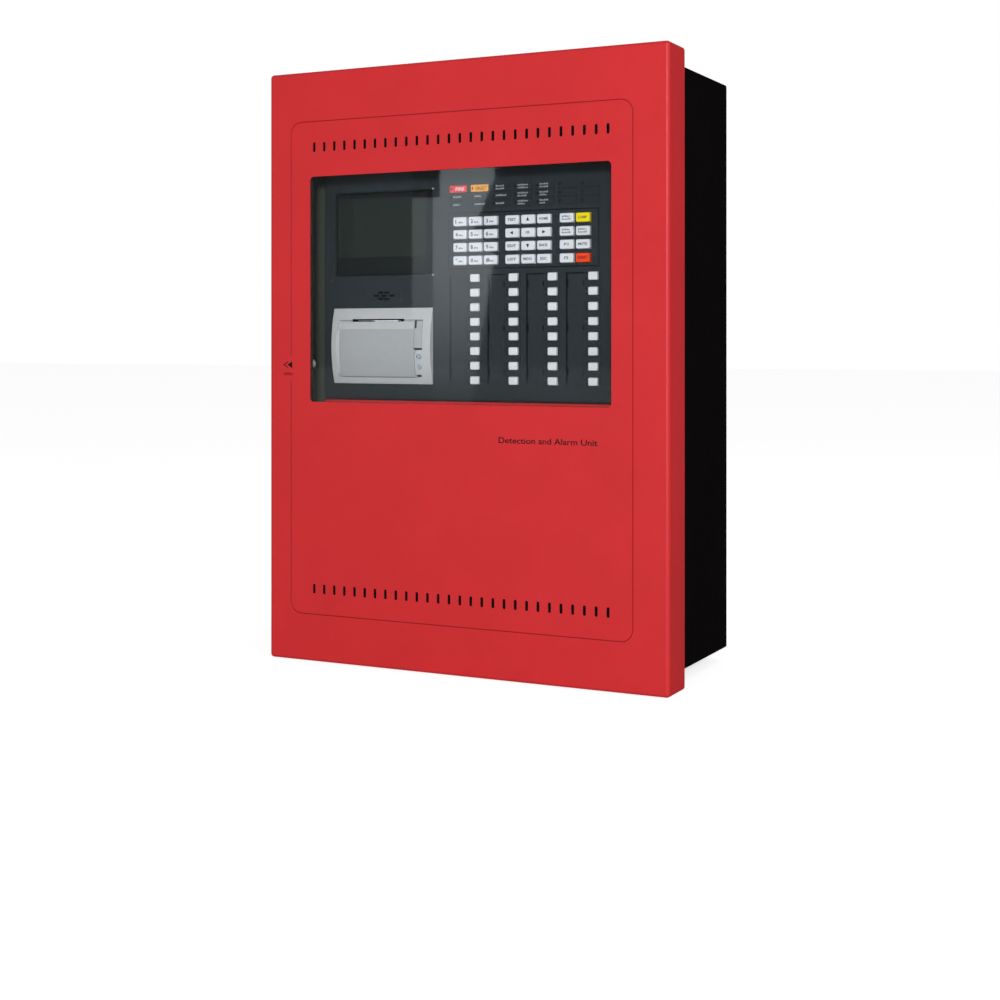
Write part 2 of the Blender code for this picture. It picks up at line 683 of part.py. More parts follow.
def arc_depth(z, inward=0.0):
    """Depth of the printer's curved front at a height, or of the same arc moved inward."""
    half = (PRINTER_Z[1] - PRINTER_Z[0]) / 2
    rise = PRINTER_RIM_DEPTH - PRINTER_CROWN_DEPTH
    radius = (half * half + rise * rise) / (2 * rise)
    offset = z - middle(PRINTER_Z)
    inner = radius - inward
    return PRINTER_CROWN_DEPTH + radius - math.sqrt(inner * inner - offset * offset)


def arc_points(z, steps, inward=0.0):
    heights = [z[0] + (z[1] - z[0]) * step / steps for step in range(steps + 1)]
    return [(arc_depth(height, inward), height) for height in heights]


def curved_block(x, z, back, steps=10, inward=0.0):
    """A prism whose front follows the printer's arc and whose back is flat."""
    return side_outline(arc_points(z, steps, inward) + [(back, z[1]), (back, z[0])], x)


def curved_plate(x, z, steps=10):
    """A plate of constant thickness that follows the printer's arc."""
    front = arc_points(z, steps)
    back = arc_points(z, steps, PRINTER_SKIN)
    return side_outline(front + back[::-1], x)


def nose_centre(pivot_z):
    """Axis of the rounded edge at a pivot, tangent to the printer's curved front."""
    return (arc_depth(pivot_z) + NOSE_RADIUS, pivot_z)


def make_printer_bezel():
    bezel = add_node("printer_bezel", curved_block(PRINTER_X, PRINTER_Z, PRINTER_BACK), LIGHT_GREY)
    inner_z = grown(PRINTER_Z, -PRINTER_SKIN)
    hollow = curved_block(grown(PRINTER_X, -PRINTER_SKIN), inner_z, PRINTER_BACK + 2.0, inward=PRINTER_SKIN)
    cut(bezel, hollow, "hollow")
    through = (PRINTER_CROWN_DEPTH - 5.0, PRINTER_BACK + 5.0)
    cut(bezel, block(grown(PAPER_DOOR_X, GAP), through, grown(PAPER_DOOR_Z, GAP)), "door_opening")
    lever_z = (LEVER_Z[0] - LEVER_FINGER_GAP, PAPER_DOOR_Z[1] + GAP)
    lever_x = (PAPER_DOOR_X[1], LEVER_X[1] + GAP)
    cut(bezel, block(lever_x, through, lever_z), "lever_opening")
    lug_depth, lug_z = nose_centre(PAPER_DOOR_PIVOT_Z)
    gap_x = grown(PAPER_DOOR_X, 0.5)
    lugs_x = {"left": (gap_x[0] - LUG_WIDTH, gap_x[0]), "right": (gap_x[1], gap_x[1] + LUG_WIDTH)}
    for side, lug_x in lugs_x.items():
        lug = block(lug_x, (lug_depth - 1.6, LUG_BACK), around(lug_z, LUG_HEIGHT))
        join(bezel, lug, f"{side}_lug")
    bores = cylinder((middle(PAPER_DOOR_X), lug_depth, lug_z), STUB_BORE_RADIUS, 120.0, steps=16)
    cut(bezel, bores, "lug_bores")
    lug_depth, lug_z = nose_centre(LEVER_PIVOT_Z)
    lug_x = (LEVER_X[1] + 0.5, LEVER_X[1] + 0.5 + LUG_WIDTH)
    lug = block(lug_x, (lug_depth - 1.0, LUG_BACK), around(lug_z, LUG_HEIGHT))
    join(bezel, lug, "lever_lug")
    bore = cylinder((LEVER_X[1] + 2.0, lug_depth, lug_z), STUB_BORE_RADIUS, 5.0, steps=16)
    cut(bezel, bore, "lever_bore")
    holes = bmesh.new()
    for z in PRINTER_BUTTONS_Z.values():
        add_cylinder(
            holes, (PRINTER_BUTTON_X, PRINTER_CROWN_DEPTH + 3.0, z), PRINTER_BUTTON_RADIUS + 0.35,
            12.0, axis="Y", steps=16,
        )
    cut(bezel, holes, "button_holes")


def make_printer_door():
    """The paper door: a curved plate on a rounded lower edge, with two ears for the platen."""
    depth, pivot_z = nose_centre(PAPER_DOOR_PIVOT_Z)
    pivot = add_pivot("printer_door_pivot", to_world(middle(PAPER_DOOR_X), depth, pivot_z))
    plate = curved_plate(PAPER_DOOR_X, (PAPER_DOOR_PIVOT_Z, PAPER_DOOR_Z[1]))
    door = add_node("printer_door", plate, LIGHT_GREY, parent=pivot)
    length = PAPER_DOOR_X[1] - PAPER_DOOR_X[0]
    nose_x = middle(PAPER_DOOR_X)
    join(door, cylinder((nose_x, depth, pivot_z), NOSE_RADIUS, length), "nose")
    join(door, cylinder((nose_x, depth, pivot_z), STUB_RADIUS, length + 6.0, steps=16), "stubs")
    for side, ear_x in zip(("left", "right"), PLATEN_EARS_X):
        ear = block(ear_x, (arc_depth(PLATEN_Z) + 1.0, PLATEN_DEPTH + 4.0), around(PLATEN_Z, 10.0))
        join(door, ear, f"{side}_ear")
    bore = cylinder((nose_x, PLATEN_DEPTH, PLATEN_Z), PLATEN_AXLE_RADIUS + 0.3, length - 10.0, steps=20)
    cut(door, bore, "ear_bores")

    centre = to_world(middle(PLATEN_X), PLATEN_DEPTH, PLATEN_Z)
    profile = [
        (0.0, PLATEN_AXLE_X[1]), (PLATEN_AXLE_RADIUS, PLATEN_AXLE_X[1]),
        (PLATEN_AXLE_RADIUS, PLATEN_X[1]), (PLATEN_RADIUS, PLATEN_X[1]),
        (PLATEN_RADIUS, PLATEN_X[0]), (PLATEN_AXLE_RADIUS, PLATEN_X[0]),
        (PLATEN_AXLE_RADIUS, PLATEN_AXLE_X[0]), (0.0, PLATEN_AXLE_X[0]),
    ]
    turned_node("platen_roller", profile, centre, RUBBER, parent=pivot)


def make_printer_lever():
    depth, pivot_z = nose_centre(LEVER_PIVOT_Z)
    centre = to_world(middle(LEVER_X), depth, pivot_z)
    plate = curved_plate(LEVER_X, (LEVER_Z[0], LEVER_PIVOT_Z), steps=6)
    lever = add_node("printer_lever", plate, LIGHT_GREY, origin=centre)
    nose = cylinder((middle(LEVER_X), depth, pivot_z), NOSE_RADIUS, LEVER_X[1] - LEVER_X[0])
    join(lever, nose, "nose")
    join(lever, cylinder((LEVER_X[1], depth, pivot_z), STUB_RADIUS, 6.0, steps=16), "stub")


def make_printer_buttons():
    for name, z in PRINTER_BUTTONS_Z.items():
        face = arc_depth(z)
        shaft = (face - 0.8, face + 3.6)
        centre = to_world(PRINTER_BUTTON_X, face, z)
        bm = cylinder(
            (PRINTER_BUTTON_X, middle(shaft), z), PRINTER_BUTTON_RADIUS, shaft[1] - shaft[0],
            axis="Y", steps=20,
        )
        button = add_node(name, bm, KEY_WHITE, origin=centre)
        flange = cylinder((PRINTER_BUTTON_X, face + 3.7, z), PRINTER_BUTTON_RADIUS + 1.1, 1.0, axis="Y")
        join(button, flange, "flange")


def make_printer_mechanism():
    """The paper bucket behind the bezel, with the thermal head's bar under its roof."""
    shell = open_pan(MECHANISM_X, MECHANISM_DEPTH, MECHANISM_Z, 1.6, open_side="front")
    mechanism = add_node("printer_mechanism", shell, BLACK_PLASTIC)
    solidify(mechanism, SHEET)
    head = block(HEAD_X, (MECHANISM_DEPTH[0] + 0.5, 64.0), (HEAD_Z, MECHANISM_Z[1] - 0.7))
    join(mechanism, head, "thermal_head")


def make_paper_roll():
    depth, z = PAPER_ROLL_CENTRE
    left, right = PAPER_ROLL_X
    profile = [
        (PAPER_CORE_RADIUS, right), (PAPER_ROLL_RADIUS, right),
        (PAPER_ROLL_RADIUS, left), (PAPER_CORE_RADIUS, left),
    ]
    turned_node("paper_roll", profile, to_world(middle(PAPER_ROLL_X), depth, z), PAPER, closed=True)


def make_power_supply():
    """An enclosed supply with an open terminal step along its left-hand end."""
    supply = add_node("power_supply", block(SUPPLY_X, SUPPLY_DEPTH, SUPPLY_Z, radius=1.0, segments=1), ZINC)
    step = block(
        (SUPPLY_X[0] - 5.0, SUPPLY_X[0] + 20.0), (SUPPLY_DEPTH[0] - 5.0, SUPPLY_DEPTH[0] + 24.0),
        grown(SUPPLY_Z, 5.0),
    )
    cut(supply, step, "terminal_step")
    terminals = block(
        (SUPPLY_X[0] + 4.0, SUPPLY_X[0] + 16.0), (SUPPLY_DEPTH[0] + 12.0, SUPPLY_DEPTH[0] + 26.0),
        grown(SUPPLY_Z, -10.0),
    )
    join(supply, terminals, "terminals")


def make_batteries():
    for number, left in enumerate(BATTERY_LEFTS_X, start=1):
        x = (left, left + BATTERY_WIDTH)
        bm = block(x, BATTERY_DEPTH, BATTERY_Z, radius=3.0, axis="Z", segments=2)
        battery = add_node(f"battery_{number}", bm, BLACK_PLASTIC)
        lid = block(
            grown(x, -4.0), grown(BATTERY_DEPTH, -4.0), (BATTERY_Z[1] - 1.0, BATTERY_Z[1] + 1.5)
        )
        join(battery, lid, "lid")
        for side, tab_x in (("left", x[0] + 22.0), ("right", x[1] - 22.0)):
            tab = block(around(tab_x, 6.3), around(BATTERY_DEPTH[0] + 14.0, 1.0),
                        (BATTERY_Z[1], BATTERY_Z[1] + 5.0))
            join(battery, tab, f"{side}_terminal")


clear_scene()
PANEL = new_collection("fire_alarm_control_panel")
CUTTERS = new_collection("cutters")

door_pivot = add_pivot("door_pivot", to_world(HINGE_X, HINGE_DEPTH, HEIGHT / 2))
make_back_box()
make_door(door_pivot)
make_window(door_pivot)
for which_hinge, hinge_span in HINGE_SPANS_Z.items():
    make_hinge(which_hinge, hinge_span, door_pivot)
make_lock(door_pivot)
make_mounting_plate()
make_lower_cover()
make_facia()
make_display()
make_keys()
make_zone_mat()
make_main_board()
make_printer_bezel()
make_printer_door()
make_printer_lever()
make_printer_buttons()
make_printer_mechanism()
make_paper_roll()
make_power_supply()
make_batteries()
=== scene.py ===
import math

import bmesh
import bpy
from mathutils import Matrix, Vector


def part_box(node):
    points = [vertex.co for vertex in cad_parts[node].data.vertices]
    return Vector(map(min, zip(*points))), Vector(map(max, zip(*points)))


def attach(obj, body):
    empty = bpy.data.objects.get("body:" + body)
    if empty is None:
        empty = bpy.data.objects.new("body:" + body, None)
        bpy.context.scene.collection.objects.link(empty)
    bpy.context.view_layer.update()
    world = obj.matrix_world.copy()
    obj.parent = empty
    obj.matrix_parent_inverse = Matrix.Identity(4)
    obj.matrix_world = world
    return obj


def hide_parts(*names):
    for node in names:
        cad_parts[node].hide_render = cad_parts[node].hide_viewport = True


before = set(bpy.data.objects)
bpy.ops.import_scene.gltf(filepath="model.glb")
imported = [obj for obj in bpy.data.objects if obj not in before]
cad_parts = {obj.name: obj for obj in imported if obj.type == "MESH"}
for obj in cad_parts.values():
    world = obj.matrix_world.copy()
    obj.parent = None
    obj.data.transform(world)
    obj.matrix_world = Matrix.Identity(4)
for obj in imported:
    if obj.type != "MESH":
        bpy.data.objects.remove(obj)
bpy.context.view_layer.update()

# Panel coordinates: millimetres from the door's left edge (x), front face (depth) and bottom edge (z).
MM = 0.001
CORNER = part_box("door")[0]

SHEET = 1.5
DOOR_FOLD = 4.0
PANE_LAP = 7.0
WINDOW_CORNER = 5.0
VENT_COUNT = 28
VENT_FIRST_X = 63.0
VENT_PITCH = 13.95
VENT_SIZE = (3.6, 11.2)
VENT_END_RADIUS = 1.45
VENT_ROWS_Z = (610.0, 86.3)
FILTER_MARGIN = 6.0
FILTER_HEIGHT = 15.4
GROOVE_X = (30.5, 468.5)
GROOVE_Z = (56.0, 640.5)
GROOVE_CORNER = 14.0
GROOVE_RADIUS = 0.6
GROOVE_BREAK_Z = (332.5, 362.5)
TITLE_X = 307.5
TITLE_Z = 266.0
TITLE_WIDTH = 120.0
TITLE_HEIGHT = 6.6
TITLE_TEXT = "Detection and Alarm Unit"
PRINT_LIFT = 0.01
PRINT_THICKNESS = 0.04

# The open mark's outlines, as (x, height above its middle).
MARK_DROP = 1.2
MARK_OUTLINE = ((19.6, 0.0), (26.3, 4.2), (26.3, -4.2))
MARK_INSIDE = ((21.6, 0.0), (26.0, 2.8), (27.5, 3.7), (27.5, -3.7), (26.0, -2.8))
MARK_FILLED = ((25.2, 0.0), (32.0, 4.2), (32.0, -4.2))
MARK_WORD_X = 26.2
MARK_WORD_DROP = 12.6
MARK_WORD_SIZE = (12.5, 3.2)

LOCK_HOLE_RADIUS = 9.3
LOCK_NUT_X = 4.6
LOCK_NUT_SIZE = (12.6, 5.0)
LOCK_NUT_BORE = 9.1
LOCK_SCREW_SIZE = (3.1, 2.4)
LOCK_WASHER_SIZE = (7.6, 1.5)

KNOCKOUTS_X = (70.0, 150.0, 255.0, 360.0, 440.0)
KNOCKOUT_DEPTH = 140.0
KNOCKOUT_RADII = (10.4, 11.0)
ENTRY_SEAL_X = (147.0, 363.0)
ENTRY_SEAL_Z = (592.0, 658.0)
ENTRY_SLITS_X = (185.0, 220.0, 255.0, 290.0, 325.0)
ENTRY_SLIT_Z = (606.0, 644.0)

KEYPAD_FRAME_X = (218.0, 408.4)
KEYPAD_FRAME_Z = (464.3, 529.0)
KEYPAD_GROOVE_RADIUS = 0.75
# Radius of the black bar that paints shade into the keypad groove.
KEYPAD_SHADE_BAR_RADIUS = 0.35
CELL_COUNT = 7
CELL_FIRST_X = 218.4
CELL_PITCH = 27.9
CELL_WIDTH = 24.3
CELL_Z = (534.3, 561.4)
CELL_ROWS_Z = (557.4, 548.2, 539.0)
CARD_MARGIN = 0.8
CARD_HEIGHT = 8.1
LIT_LABELS = (("FIRE", 227.0, 11.5), ("FAULT", 253.5, 13.5))
LIT_LABEL_Z = 555.4
LIT_LABEL_HEIGHT = 3.9
GRILLE_OPENINGS = (
    (125.6, 438.0), (133.9, 438.0), (119.4, 434.2), (129.7, 434.2),
    (140.8, 434.2), (125.3, 430.3), (133.6, 430.3),
)
GRILLE_SLOT = (8.0, 2.7)
GRILLE_CENTRE = (129.9, 434.2)
SOUND_ARC_RADII = (16.0, 20.5, 25.0)
SOUND_ARC_TURNS = (-0.32, -0.16, 0.0, 0.16, 0.32)
SOUNDER_CLOTH_X = (113.0, 147.0)
SOUNDER_CLOTH_Z = (425.0, 443.5)

ZONE_COLUMNS = 4
ZONE_OUTER_COLUMNS_X = (253.2, 402.2)
ZONE_ROWS = 8
ZONE_TOP_ROW_Z = 453.1
ZONE_ROW_PITCH = 16.95
ZONE_POCKET_Z = (331.5, 457.4)
ZONE_POCKET_REACH = (34.1, 8.3)
ZONE_NOTCHES_Z = (445.6, 395.0, 344.0)
ZONE_STRIP_WIDTH = 20.3
# Width of the carrier that shows left of each strip as a painted shadow line.
ZONE_SHADE_LINE_WIDTH = 1.9
ZONE_KEY_SIZE = (10.2, 9.6)
ZONE_LAMP_OFFSET = 9.0
ZONE_LAMP_SIZE = (1.3, 1.7)
ZONE_LAMP_PITCH = 5.6

DISPLAY_FLOOR = 56.0
DISPLAY_RIGHT_X = 184.7
DISPLAY_SCREEN_Z = (481.0, 552.0)
DISPLAY_BAND_TOP_Z = 479.0
DISPLAY_RIBS = ((187.0, 1.0), (190.6, 2.6), (193.4, 4.4))
FACIA_LAMPS = ((57.0, 453.3), (226.0, 466.6))
FACIA_LAMP_SIZE = (0.9, 0.6)

KEY_SEAT_DEPTH = 52.0
ARROW_REACH = 2.6

PRINTER_RIM_DEPTH = 48.9
PRINTER_LAMP = (180.8, 339.0)
PAPER_DOOR_CREASE_Z = 394.2
PAPER_SLOT_X = (88.5, 160.5)
PAPER_SLOT_Z = (403.2, 406.4)
PAPER_LIP_X = 117.0
PAPER_RUN = ((58.7, 366.0), (59.6, 392.0), (58.2, 399.6), (54.5, 402.25))
LEVER_NOTCH_Z = 395.2
LEVER_NOTCH_WIDTH = 2.3

# The stage, in metres.
CAMERA_PLACE = (0.8509, -1.8362, 0.0289)
CAMERA_TURN = 26.45
CAMERA_LENS = 57.6
CAMERA_RISE = -0.158
KEY_LIGHT_PLACE = (1.66, -3.8, 0.62)
FILL_LIGHT_PLACE = (3.0, -0.6, 1.0)
WORLD_LIGHT = 0.36
WORLD_REFLECTED = 0.04
FLOOR_SIZE = 20.0
FLOOR_GLOW = 0.66
REFLECTOR_Y = -1.9
REFLECTOR_FADE_Z = (-0.20, 0.26)
REFLECTOR_BAND = (
    (-0.95, 0.366), (-0.932, 0.366), (-0.932, 0.50), (-0.79, 0.50), (-0.79, 0.40),
    (-0.845, 0.29), (-0.79, 0.23), (-0.82, 0.05), (-0.85, -0.12), (-0.95, -0.12),
)
REFLECTOR_EDGE = ((-1.006, 0.366), (-0.95, 0.366), (-0.95, -0.12), (-1.006, -0.12))
REFLECTOR_WIDE = ((-2.2, 0.60), (-1.006, 0.60), (-1.006, -0.14), (-2.2, -0.14))


def spans(node):
    """A CAD node's width, depth and height spans, in panel millimetres."""
    low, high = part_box(node)
    return [((low[i] - CORNER[i]) / MM, (high[i] - CORNER[i]) / MM) for i in range(3)]


def at(x, depth, z):
    return CORNER + Vector((x, depth, z)) * MM


def middle(span):
    return (span[0] + span[1]) / 2


def grown(span, by):
    return (span[0] - by, span[1] + by)


def around(centre, size):
    return (centre - size / 2, centre + size / 2)


def door_front():
    return spans("door")[1][0]


def facia_front():
    return spans("control_facia")[1][0]


def print_span(depth):
    """The depth span of print on a surface."""
    return (depth - PRINT_LIFT - PRINT_THICKNESS, depth - PRINT_LIFT)


# ---------------- materials


class Look:
    """A Principled material that is put together from procedural textures."""

    def __init__(self, name, colour, roughness, metallic=0.0):
        self.material = bpy.data.materials.new(name)
        self.material.use_nodes = True
        self.tree = self.material.node_tree
        self.shader = self.tree.nodes["Principled BSDF"]
        self.colour = colour
        self.set("Base Color", (*colour, 1.0))
        self.set("Roughness", roughness)
        self.set("Metallic", metallic)

    def set(self, socket, value):
        self.shader.inputs[socket].default_value = value

    def link(self, output, socket):
        self.tree.links.new(output, socket)

    def noise(self, scale, detail=2.0, stretch=(1.0, 1.0, 1.0)):
        place = self.tree.nodes.new("ShaderNodeTexCoord")
        mapping = self.tree.nodes.new("ShaderNodeMapping")
        mapping.inputs["Scale"].default_value = stretch
        texture = self.tree.nodes.new("ShaderNodeTexNoise")
        texture.inputs["Scale"].default_value = scale
        texture.inputs["Detail"].default_value = detail
        self.link(place.outputs["Object"], mapping.inputs["Vector"])
        self.link(mapping.outputs["Vector"], texture.inputs["Vector"])
        return texture.outputs["Fac"]

    def ramp(self, factor, stops):
        """A colour ramp from (position, linear colour) stops."""
        node = self.tree.nodes.new("ShaderNodeValToRGB")
        node.color_ramp.elements[0].position = stops[0][0]
        node.color_ramp.elements[1].position = stops[-1][0]
        for position, _ in stops[1:-1]:
            node.color_ramp.elements.new(position)
        for element, (_, colour) in zip(node.color_ramp.elements, stops):
            element.color = (*colour, 1.0)
        self.link(factor, node.inputs["Fac"])
        return node.outputs["Color"]

    def mottle(self, scale, spread, detail=3.0, stretch=(1.0, 1.0, 1.0)):
        """Lets the colour drift a little either side of its mean."""
        darker = tuple(c * (1.0 - spread) for c in self.colour)
        lighter = tuple(c * (1.0 + spread) for c in self.colour)
        colour = self.ramp(self.noise(scale, detail, stretch), [(0.3, darker), (0.7, lighter)])
        self.link(colour, self.shader.inputs["Base Color"])
        return self

    def polish(self, scale, low, high, stretch=(1.0, 1.0, 1.0)):
        """Varies the roughness between two values."""
        node = self.tree.nodes.new("ShaderNodeMapRange")
        node.inputs["From Min"].default_value = 0.3
        node.inputs["From Max"].default_value = 0.7
        node.inputs["To Min"].default_value = low
        node.inputs["To Max"].default_value = high
        self.link(self.noise(scale, 2.0, stretch), node.inputs["Value"])
        self.link(node.outputs["Result"], self.shader.inputs["Roughness"])
        return self

    def relief(self, scale, height, strength=0.5, detail=2.0, stretch=(1.0, 1.0, 1.0)):
        """A fine bump, its height in millimetres."""
        node = self.tree.nodes.new("ShaderNodeBump")
        node.inputs["Strength"].default_value = strength
        node.inputs["Distance"].default_value = height * MM
        self.link(self.noise(scale, detail, stretch), node.inputs["Height"])
        self.link(node.outputs["Normal"], self.shader.inputs["Normal"])
        return self


def powder_coat(name, colour, roughness, spread=0.03, peel=0.05, gloss=0.5):
    look = Look(name, colour, roughness).mottle(14.0, spread)
    look.set("Specular IOR Level", gloss)
    look.polish(60.0, roughness - 0.05, roughness + 0.05)
    return look.relief(620.0, peel, strength=0.35)


def moulded(name, colour, roughness, spread=0.05, grain=0.04, gloss=0.5):
    look = Look(name, colour, roughness).mottle(120.0, spread)
    look.set("Specular IOR Level", gloss)
    look.polish(300.0, roughness - 0.06, roughness + 0.06)
    return look.relief(1500.0, grain, strength=0.4)


def plated(name, colour, roughness, stretch=(1.0, 1.0, 1.0), metallic=1.0):
    look = Look(name, colour, roughness, metallic).mottle(90.0, 0.12, 4.0, stretch)
    look.polish(240.0, roughness - 0.08, roughness + 0.12, stretch)
    return look.relief(900.0, 0.01, strength=0.3, stretch=stretch)


def clear_sheet(name):
    look = Look(name, (0.94, 0.97, 0.96), 0.03).polish(3.0, 0.015, 0.04)
    look.set("Transmission Weight", 1.0)
    look.set("IOR", 1.49)
    return look


def printed(name, colour):
    look = Look(name, colour, 0.5).mottle(400.0, 0.08).polish(500.0, 0.42, 0.58)
    look.set("Specular IOR Level", 0.2)
    return look


def lens(name, colour):
    look = Look(name, colour, 0.15).mottle(700.0, 0.15).polish(400.0, 0.1, 0.22)
    look.set("Coat Weight", 0.3)
    look.set("Coat Roughness", 0.05)
    return look


def circuit_board(name):
    """Green solder resist with a maze of slightly lighter tracks."""
    resist, track = (0.012, 0.09, 0.035), (0.03, 0.16, 0.06)
    scale, stretch = 260.0, (1.0, 1.0, 4.0)
    look = Look(name, resist, 0.35)
    stops = [(0.48, resist), (0.5, track), (0.54, resist)]
    tracks = look.ramp(look.noise(scale, 0.0, stretch), stops)
    look.link(tracks, look.shader.inputs["Base Color"])
    return look.relief(scale, 0.03, stretch=stretch, detail=0.0)


LOOKS = {
    "red_paint": powder_coat("red_paint", (0.62, 0.024, 0.028), 0.42, gloss=0.3),
    "black_paint": powder_coat("black_paint", (0.0035, 0.002, 0.002), 0.6, 0.08, peel=0.08, gloss=0.12),
    "olive_paint": powder_coat("olive_paint", (0.052, 0.060, 0.048), 0.5, spread=0.06),
    "zinc_plate": plated("zinc_plate", (0.42, 0.43, 0.41), 0.38),
    "bright_steel": plated("bright_steel", (0.80, 0.80, 0.78), 0.3, (1.0, 12.0, 1.0), metallic=0.55),
    "clear_pane": clear_sheet("clear_pane"),
    "black_plastic": moulded("black_plastic", (0.007, 0.010, 0.010), 0.5, gloss=0.15),
    # Near-black matt: the dust filters and sounder cloth, and painted shade on the zone strip carriers.
    "recess_black": moulded("recess_black", (0.002, 0.003, 0.003), 0.8, gloss=0.05),
    "battery_case": moulded("battery_case", (0.018, 0.018, 0.02), 0.5),
    "charcoal_facia": moulded("charcoal_facia", (0.019, 0.026, 0.032), 0.6, spread=0.08, gloss=0.2),
    "light_grey": moulded("light_grey", (0.44, 0.46, 0.48), 0.5, spread=0.03),
    "rim_grey": moulded("rim_grey", (0.56, 0.58, 0.60), 0.5, spread=0.03),
    "button_grey": moulded("button_grey", (0.36, 0.44, 0.49), 0.35, spread=0.03),
    "key_rubber": moulded("key_rubber", (0.80, 0.83, 0.87), 0.5, spread=0.03),
    "key_white": moulded("key_white", (0.80, 0.84, 0.90), 0.42, spread=0.02),
    "key_yellow": moulded("key_yellow", (0.96, 0.80, 0.01), 0.5, spread=0.02, gloss=0.2),
    "key_red": moulded("key_red", (0.96, 0.07, 0.015), 0.5, spread=0.02, gloss=0.2),
    "board_green": circuit_board("board_green"),
    "platen_rubber": moulded("platen_rubber", (0.02, 0.02, 0.02), 0.7),
    "thermal_paper": moulded("thermal_paper", (0.86, 0.86, 0.83), 0.85, spread=0.02),
    "black_steel": plated("black_steel", (0.02, 0.02, 0.02), 0.4),
    "display_glass": lens("display_glass", (0.020, 0.028, 0.025)),
    "lamp_dark": lens("lamp_dark", (0.012, 0.012, 0.013)),
    "lamp_red": lens("lamp_red", (0.45, 0.01, 0.02)),
    "label_card": moulded("label_card", (0.016, 0.022, 0.028), 0.6, spread=0.06, gloss=0.2),
    "label_red": printed("label_red", (0.90, 0.04, 0.05)),
    "label_amber": printed("label_amber", (0.95, 0.42, 0.04)),
    "print_white": printed("print_white", (0.82, 0.84, 0.84)),
    "print_black": printed("print_black", (0.010, 0.008, 0.008)),
    "print_maroon": printed("print_maroon", (0.26, 0.012, 0.018)),
    "print_brown": printed("print_brown", (0.30, 0.20, 0.02)),
    "print_grey": printed("print_grey", (0.40, 0.44, 0.46)),
    "key_legend": printed("key_legend", (0.10, 0.11, 0.13)),
    # Darker red for the faces of the pressed line: painted shade in the groove.
    "groove_shade_red": powder_coat("groove_shade_red", (0.32, 0.012, 0.015), 0.5, gloss=0.2),
}


# ---------------- mesh helpers


def add_block(bm, x, depth, z, radius=0.0, segments=4, along=1):
    """Adds a box between three spans, with the four edges along one axis rounded."""
    low, high = at(x[0], depth[0], z[0]), at(x[1], depth[1], z[1])
    matrix = Matrix.Translation((low + high) / 2) @ Matrix.Diagonal((high - low).to_4d())
    matrix[3][3] = 1.0
    verts = bmesh.ops.create_cube(bm, size=1.0, matrix=matrix)["verts"]
    if not radius:
        return
    edges = {edge for vert in verts for edge in vert.link_edges}
    direction = Vector([float(i == along) for i in range(3)])
    kept = [e for e in edges if abs((e.verts[1].co - e.verts[0].co).normalized() @ direction) > 0.99]
    bmesh.ops.bevel(bm, geom=kept, offset=radius * MM, segments=segments, profile=0.5, affect="EDGES")


def block(*spans_, **rounding):
    bm = bmesh.new()
    add_block(bm, *spans_, **rounding)
    return bm


def add_cylinder(bm, centre, radius, length, axis="Y", steps=32, tip=None):
    """Adds a closed cylinder, or a cone with its own tip radius, about an axis through centre."""
    turns = {"X": Matrix.Rotation(math.pi / 2, 4, "Y"), "Y": Matrix.Rotation(math.pi / 2, 4, "X")}
    place = Matrix.Translation(at(*centre)) @ turns.get(axis, Matrix.Identity(4))
    bmesh.ops.create_cone(
        bm, cap_ends=True, segments=steps, radius1=radius * MM,
        radius2=(radius if tip is None else tip) * MM, depth=length * MM, matrix=place,
    )


def cylinder(*sizes, **options):
    bm = bmesh.new()
    add_cylinder(bm, *sizes, **options)
    return bm


def merge(target, other, number=0):
    """Moves another bmesh's faces into target, under a material number."""
    for face in other.faces:
        face.material_index = number
    mesh = bpy.data.meshes.new("merged")
    other.to_mesh(mesh)
    other.free()
    target.from_mesh(mesh)
    bpy.data.meshes.remove(mesh)
    return target


def new_object(name, data):
    obj = bpy.data.objects.new(name, data)
    bpy.context.scene.collection.objects.link(obj)
    return obj


def loose_object(bm, name):
    mesh = bpy.data.meshes.new(name)
    bm.to_mesh(mesh)
    bm.free()
    return new_object(name, mesh)


def taken_from(obj):
    """The bmesh of a loose object with its modifiers applied; the object is removed."""
    bm = bmesh.new()
    mesh = bpy.data.meshes.new_from_object(obj.evaluated_get(bpy.context.evaluated_depsgraph_get()))
    bm.from_mesh(mesh)
    bpy.data.meshes.remove(mesh)
    data = obj.data
    bpy.data.objects.remove(obj, do_unlink=True)
    kept_in = bpy.data.meshes if isinstance(data, bpy.types.Mesh) else bpy.data.curves
    kept_in.remove(data)
    return bm


def combine(bm, tool, operation="DIFFERENCE"):
    """An exact Boolean of two closed bmeshes."""
    obj, other = loose_object(bm, "work"), loose_object(tool, "tool")
    modifier = obj.modifiers.new("combine", "BOOLEAN")
    modifier.operation = operation
    modifier.solver = "EXACT"
    modifier.object = other
    result = taken_from(obj)
    mesh = other.data
    bpy.data.objects.remove(other, do_unlink=True)
    bpy.data.meshes.remove(mesh)
    return result


def prism(points, depth):
    """A closed plate from a front outline of (x, z) points."""
    return swept([at(x, depth[0], z) for x, z in points], (0.0, (depth[1] - depth[0]) * MM, 0.0))


def side_prism(points, x):
    """A closed bar across the panel from a side outline of (depth, z) points."""
    return swept([at(x[0], depth, z) for depth, z in points], ((x[1] - x[0]) * MM, 0.0, 0.0))


def swept(points, travel):
    bm = bmesh.new()
    face = bm.faces.new([bm.verts.new(point) for point in points])
    drawn = bmesh.ops.extrude_face_region(bm, geom=[face])["geom"]
    moved = [item for item in drawn if isinstance(item, bmesh.types.BMVert)]
    bmesh.ops.translate(bm, verts=moved, vec=travel)
    bmesh.ops.recalc_face_normals(bm, faces=bm.faces)
    return bm


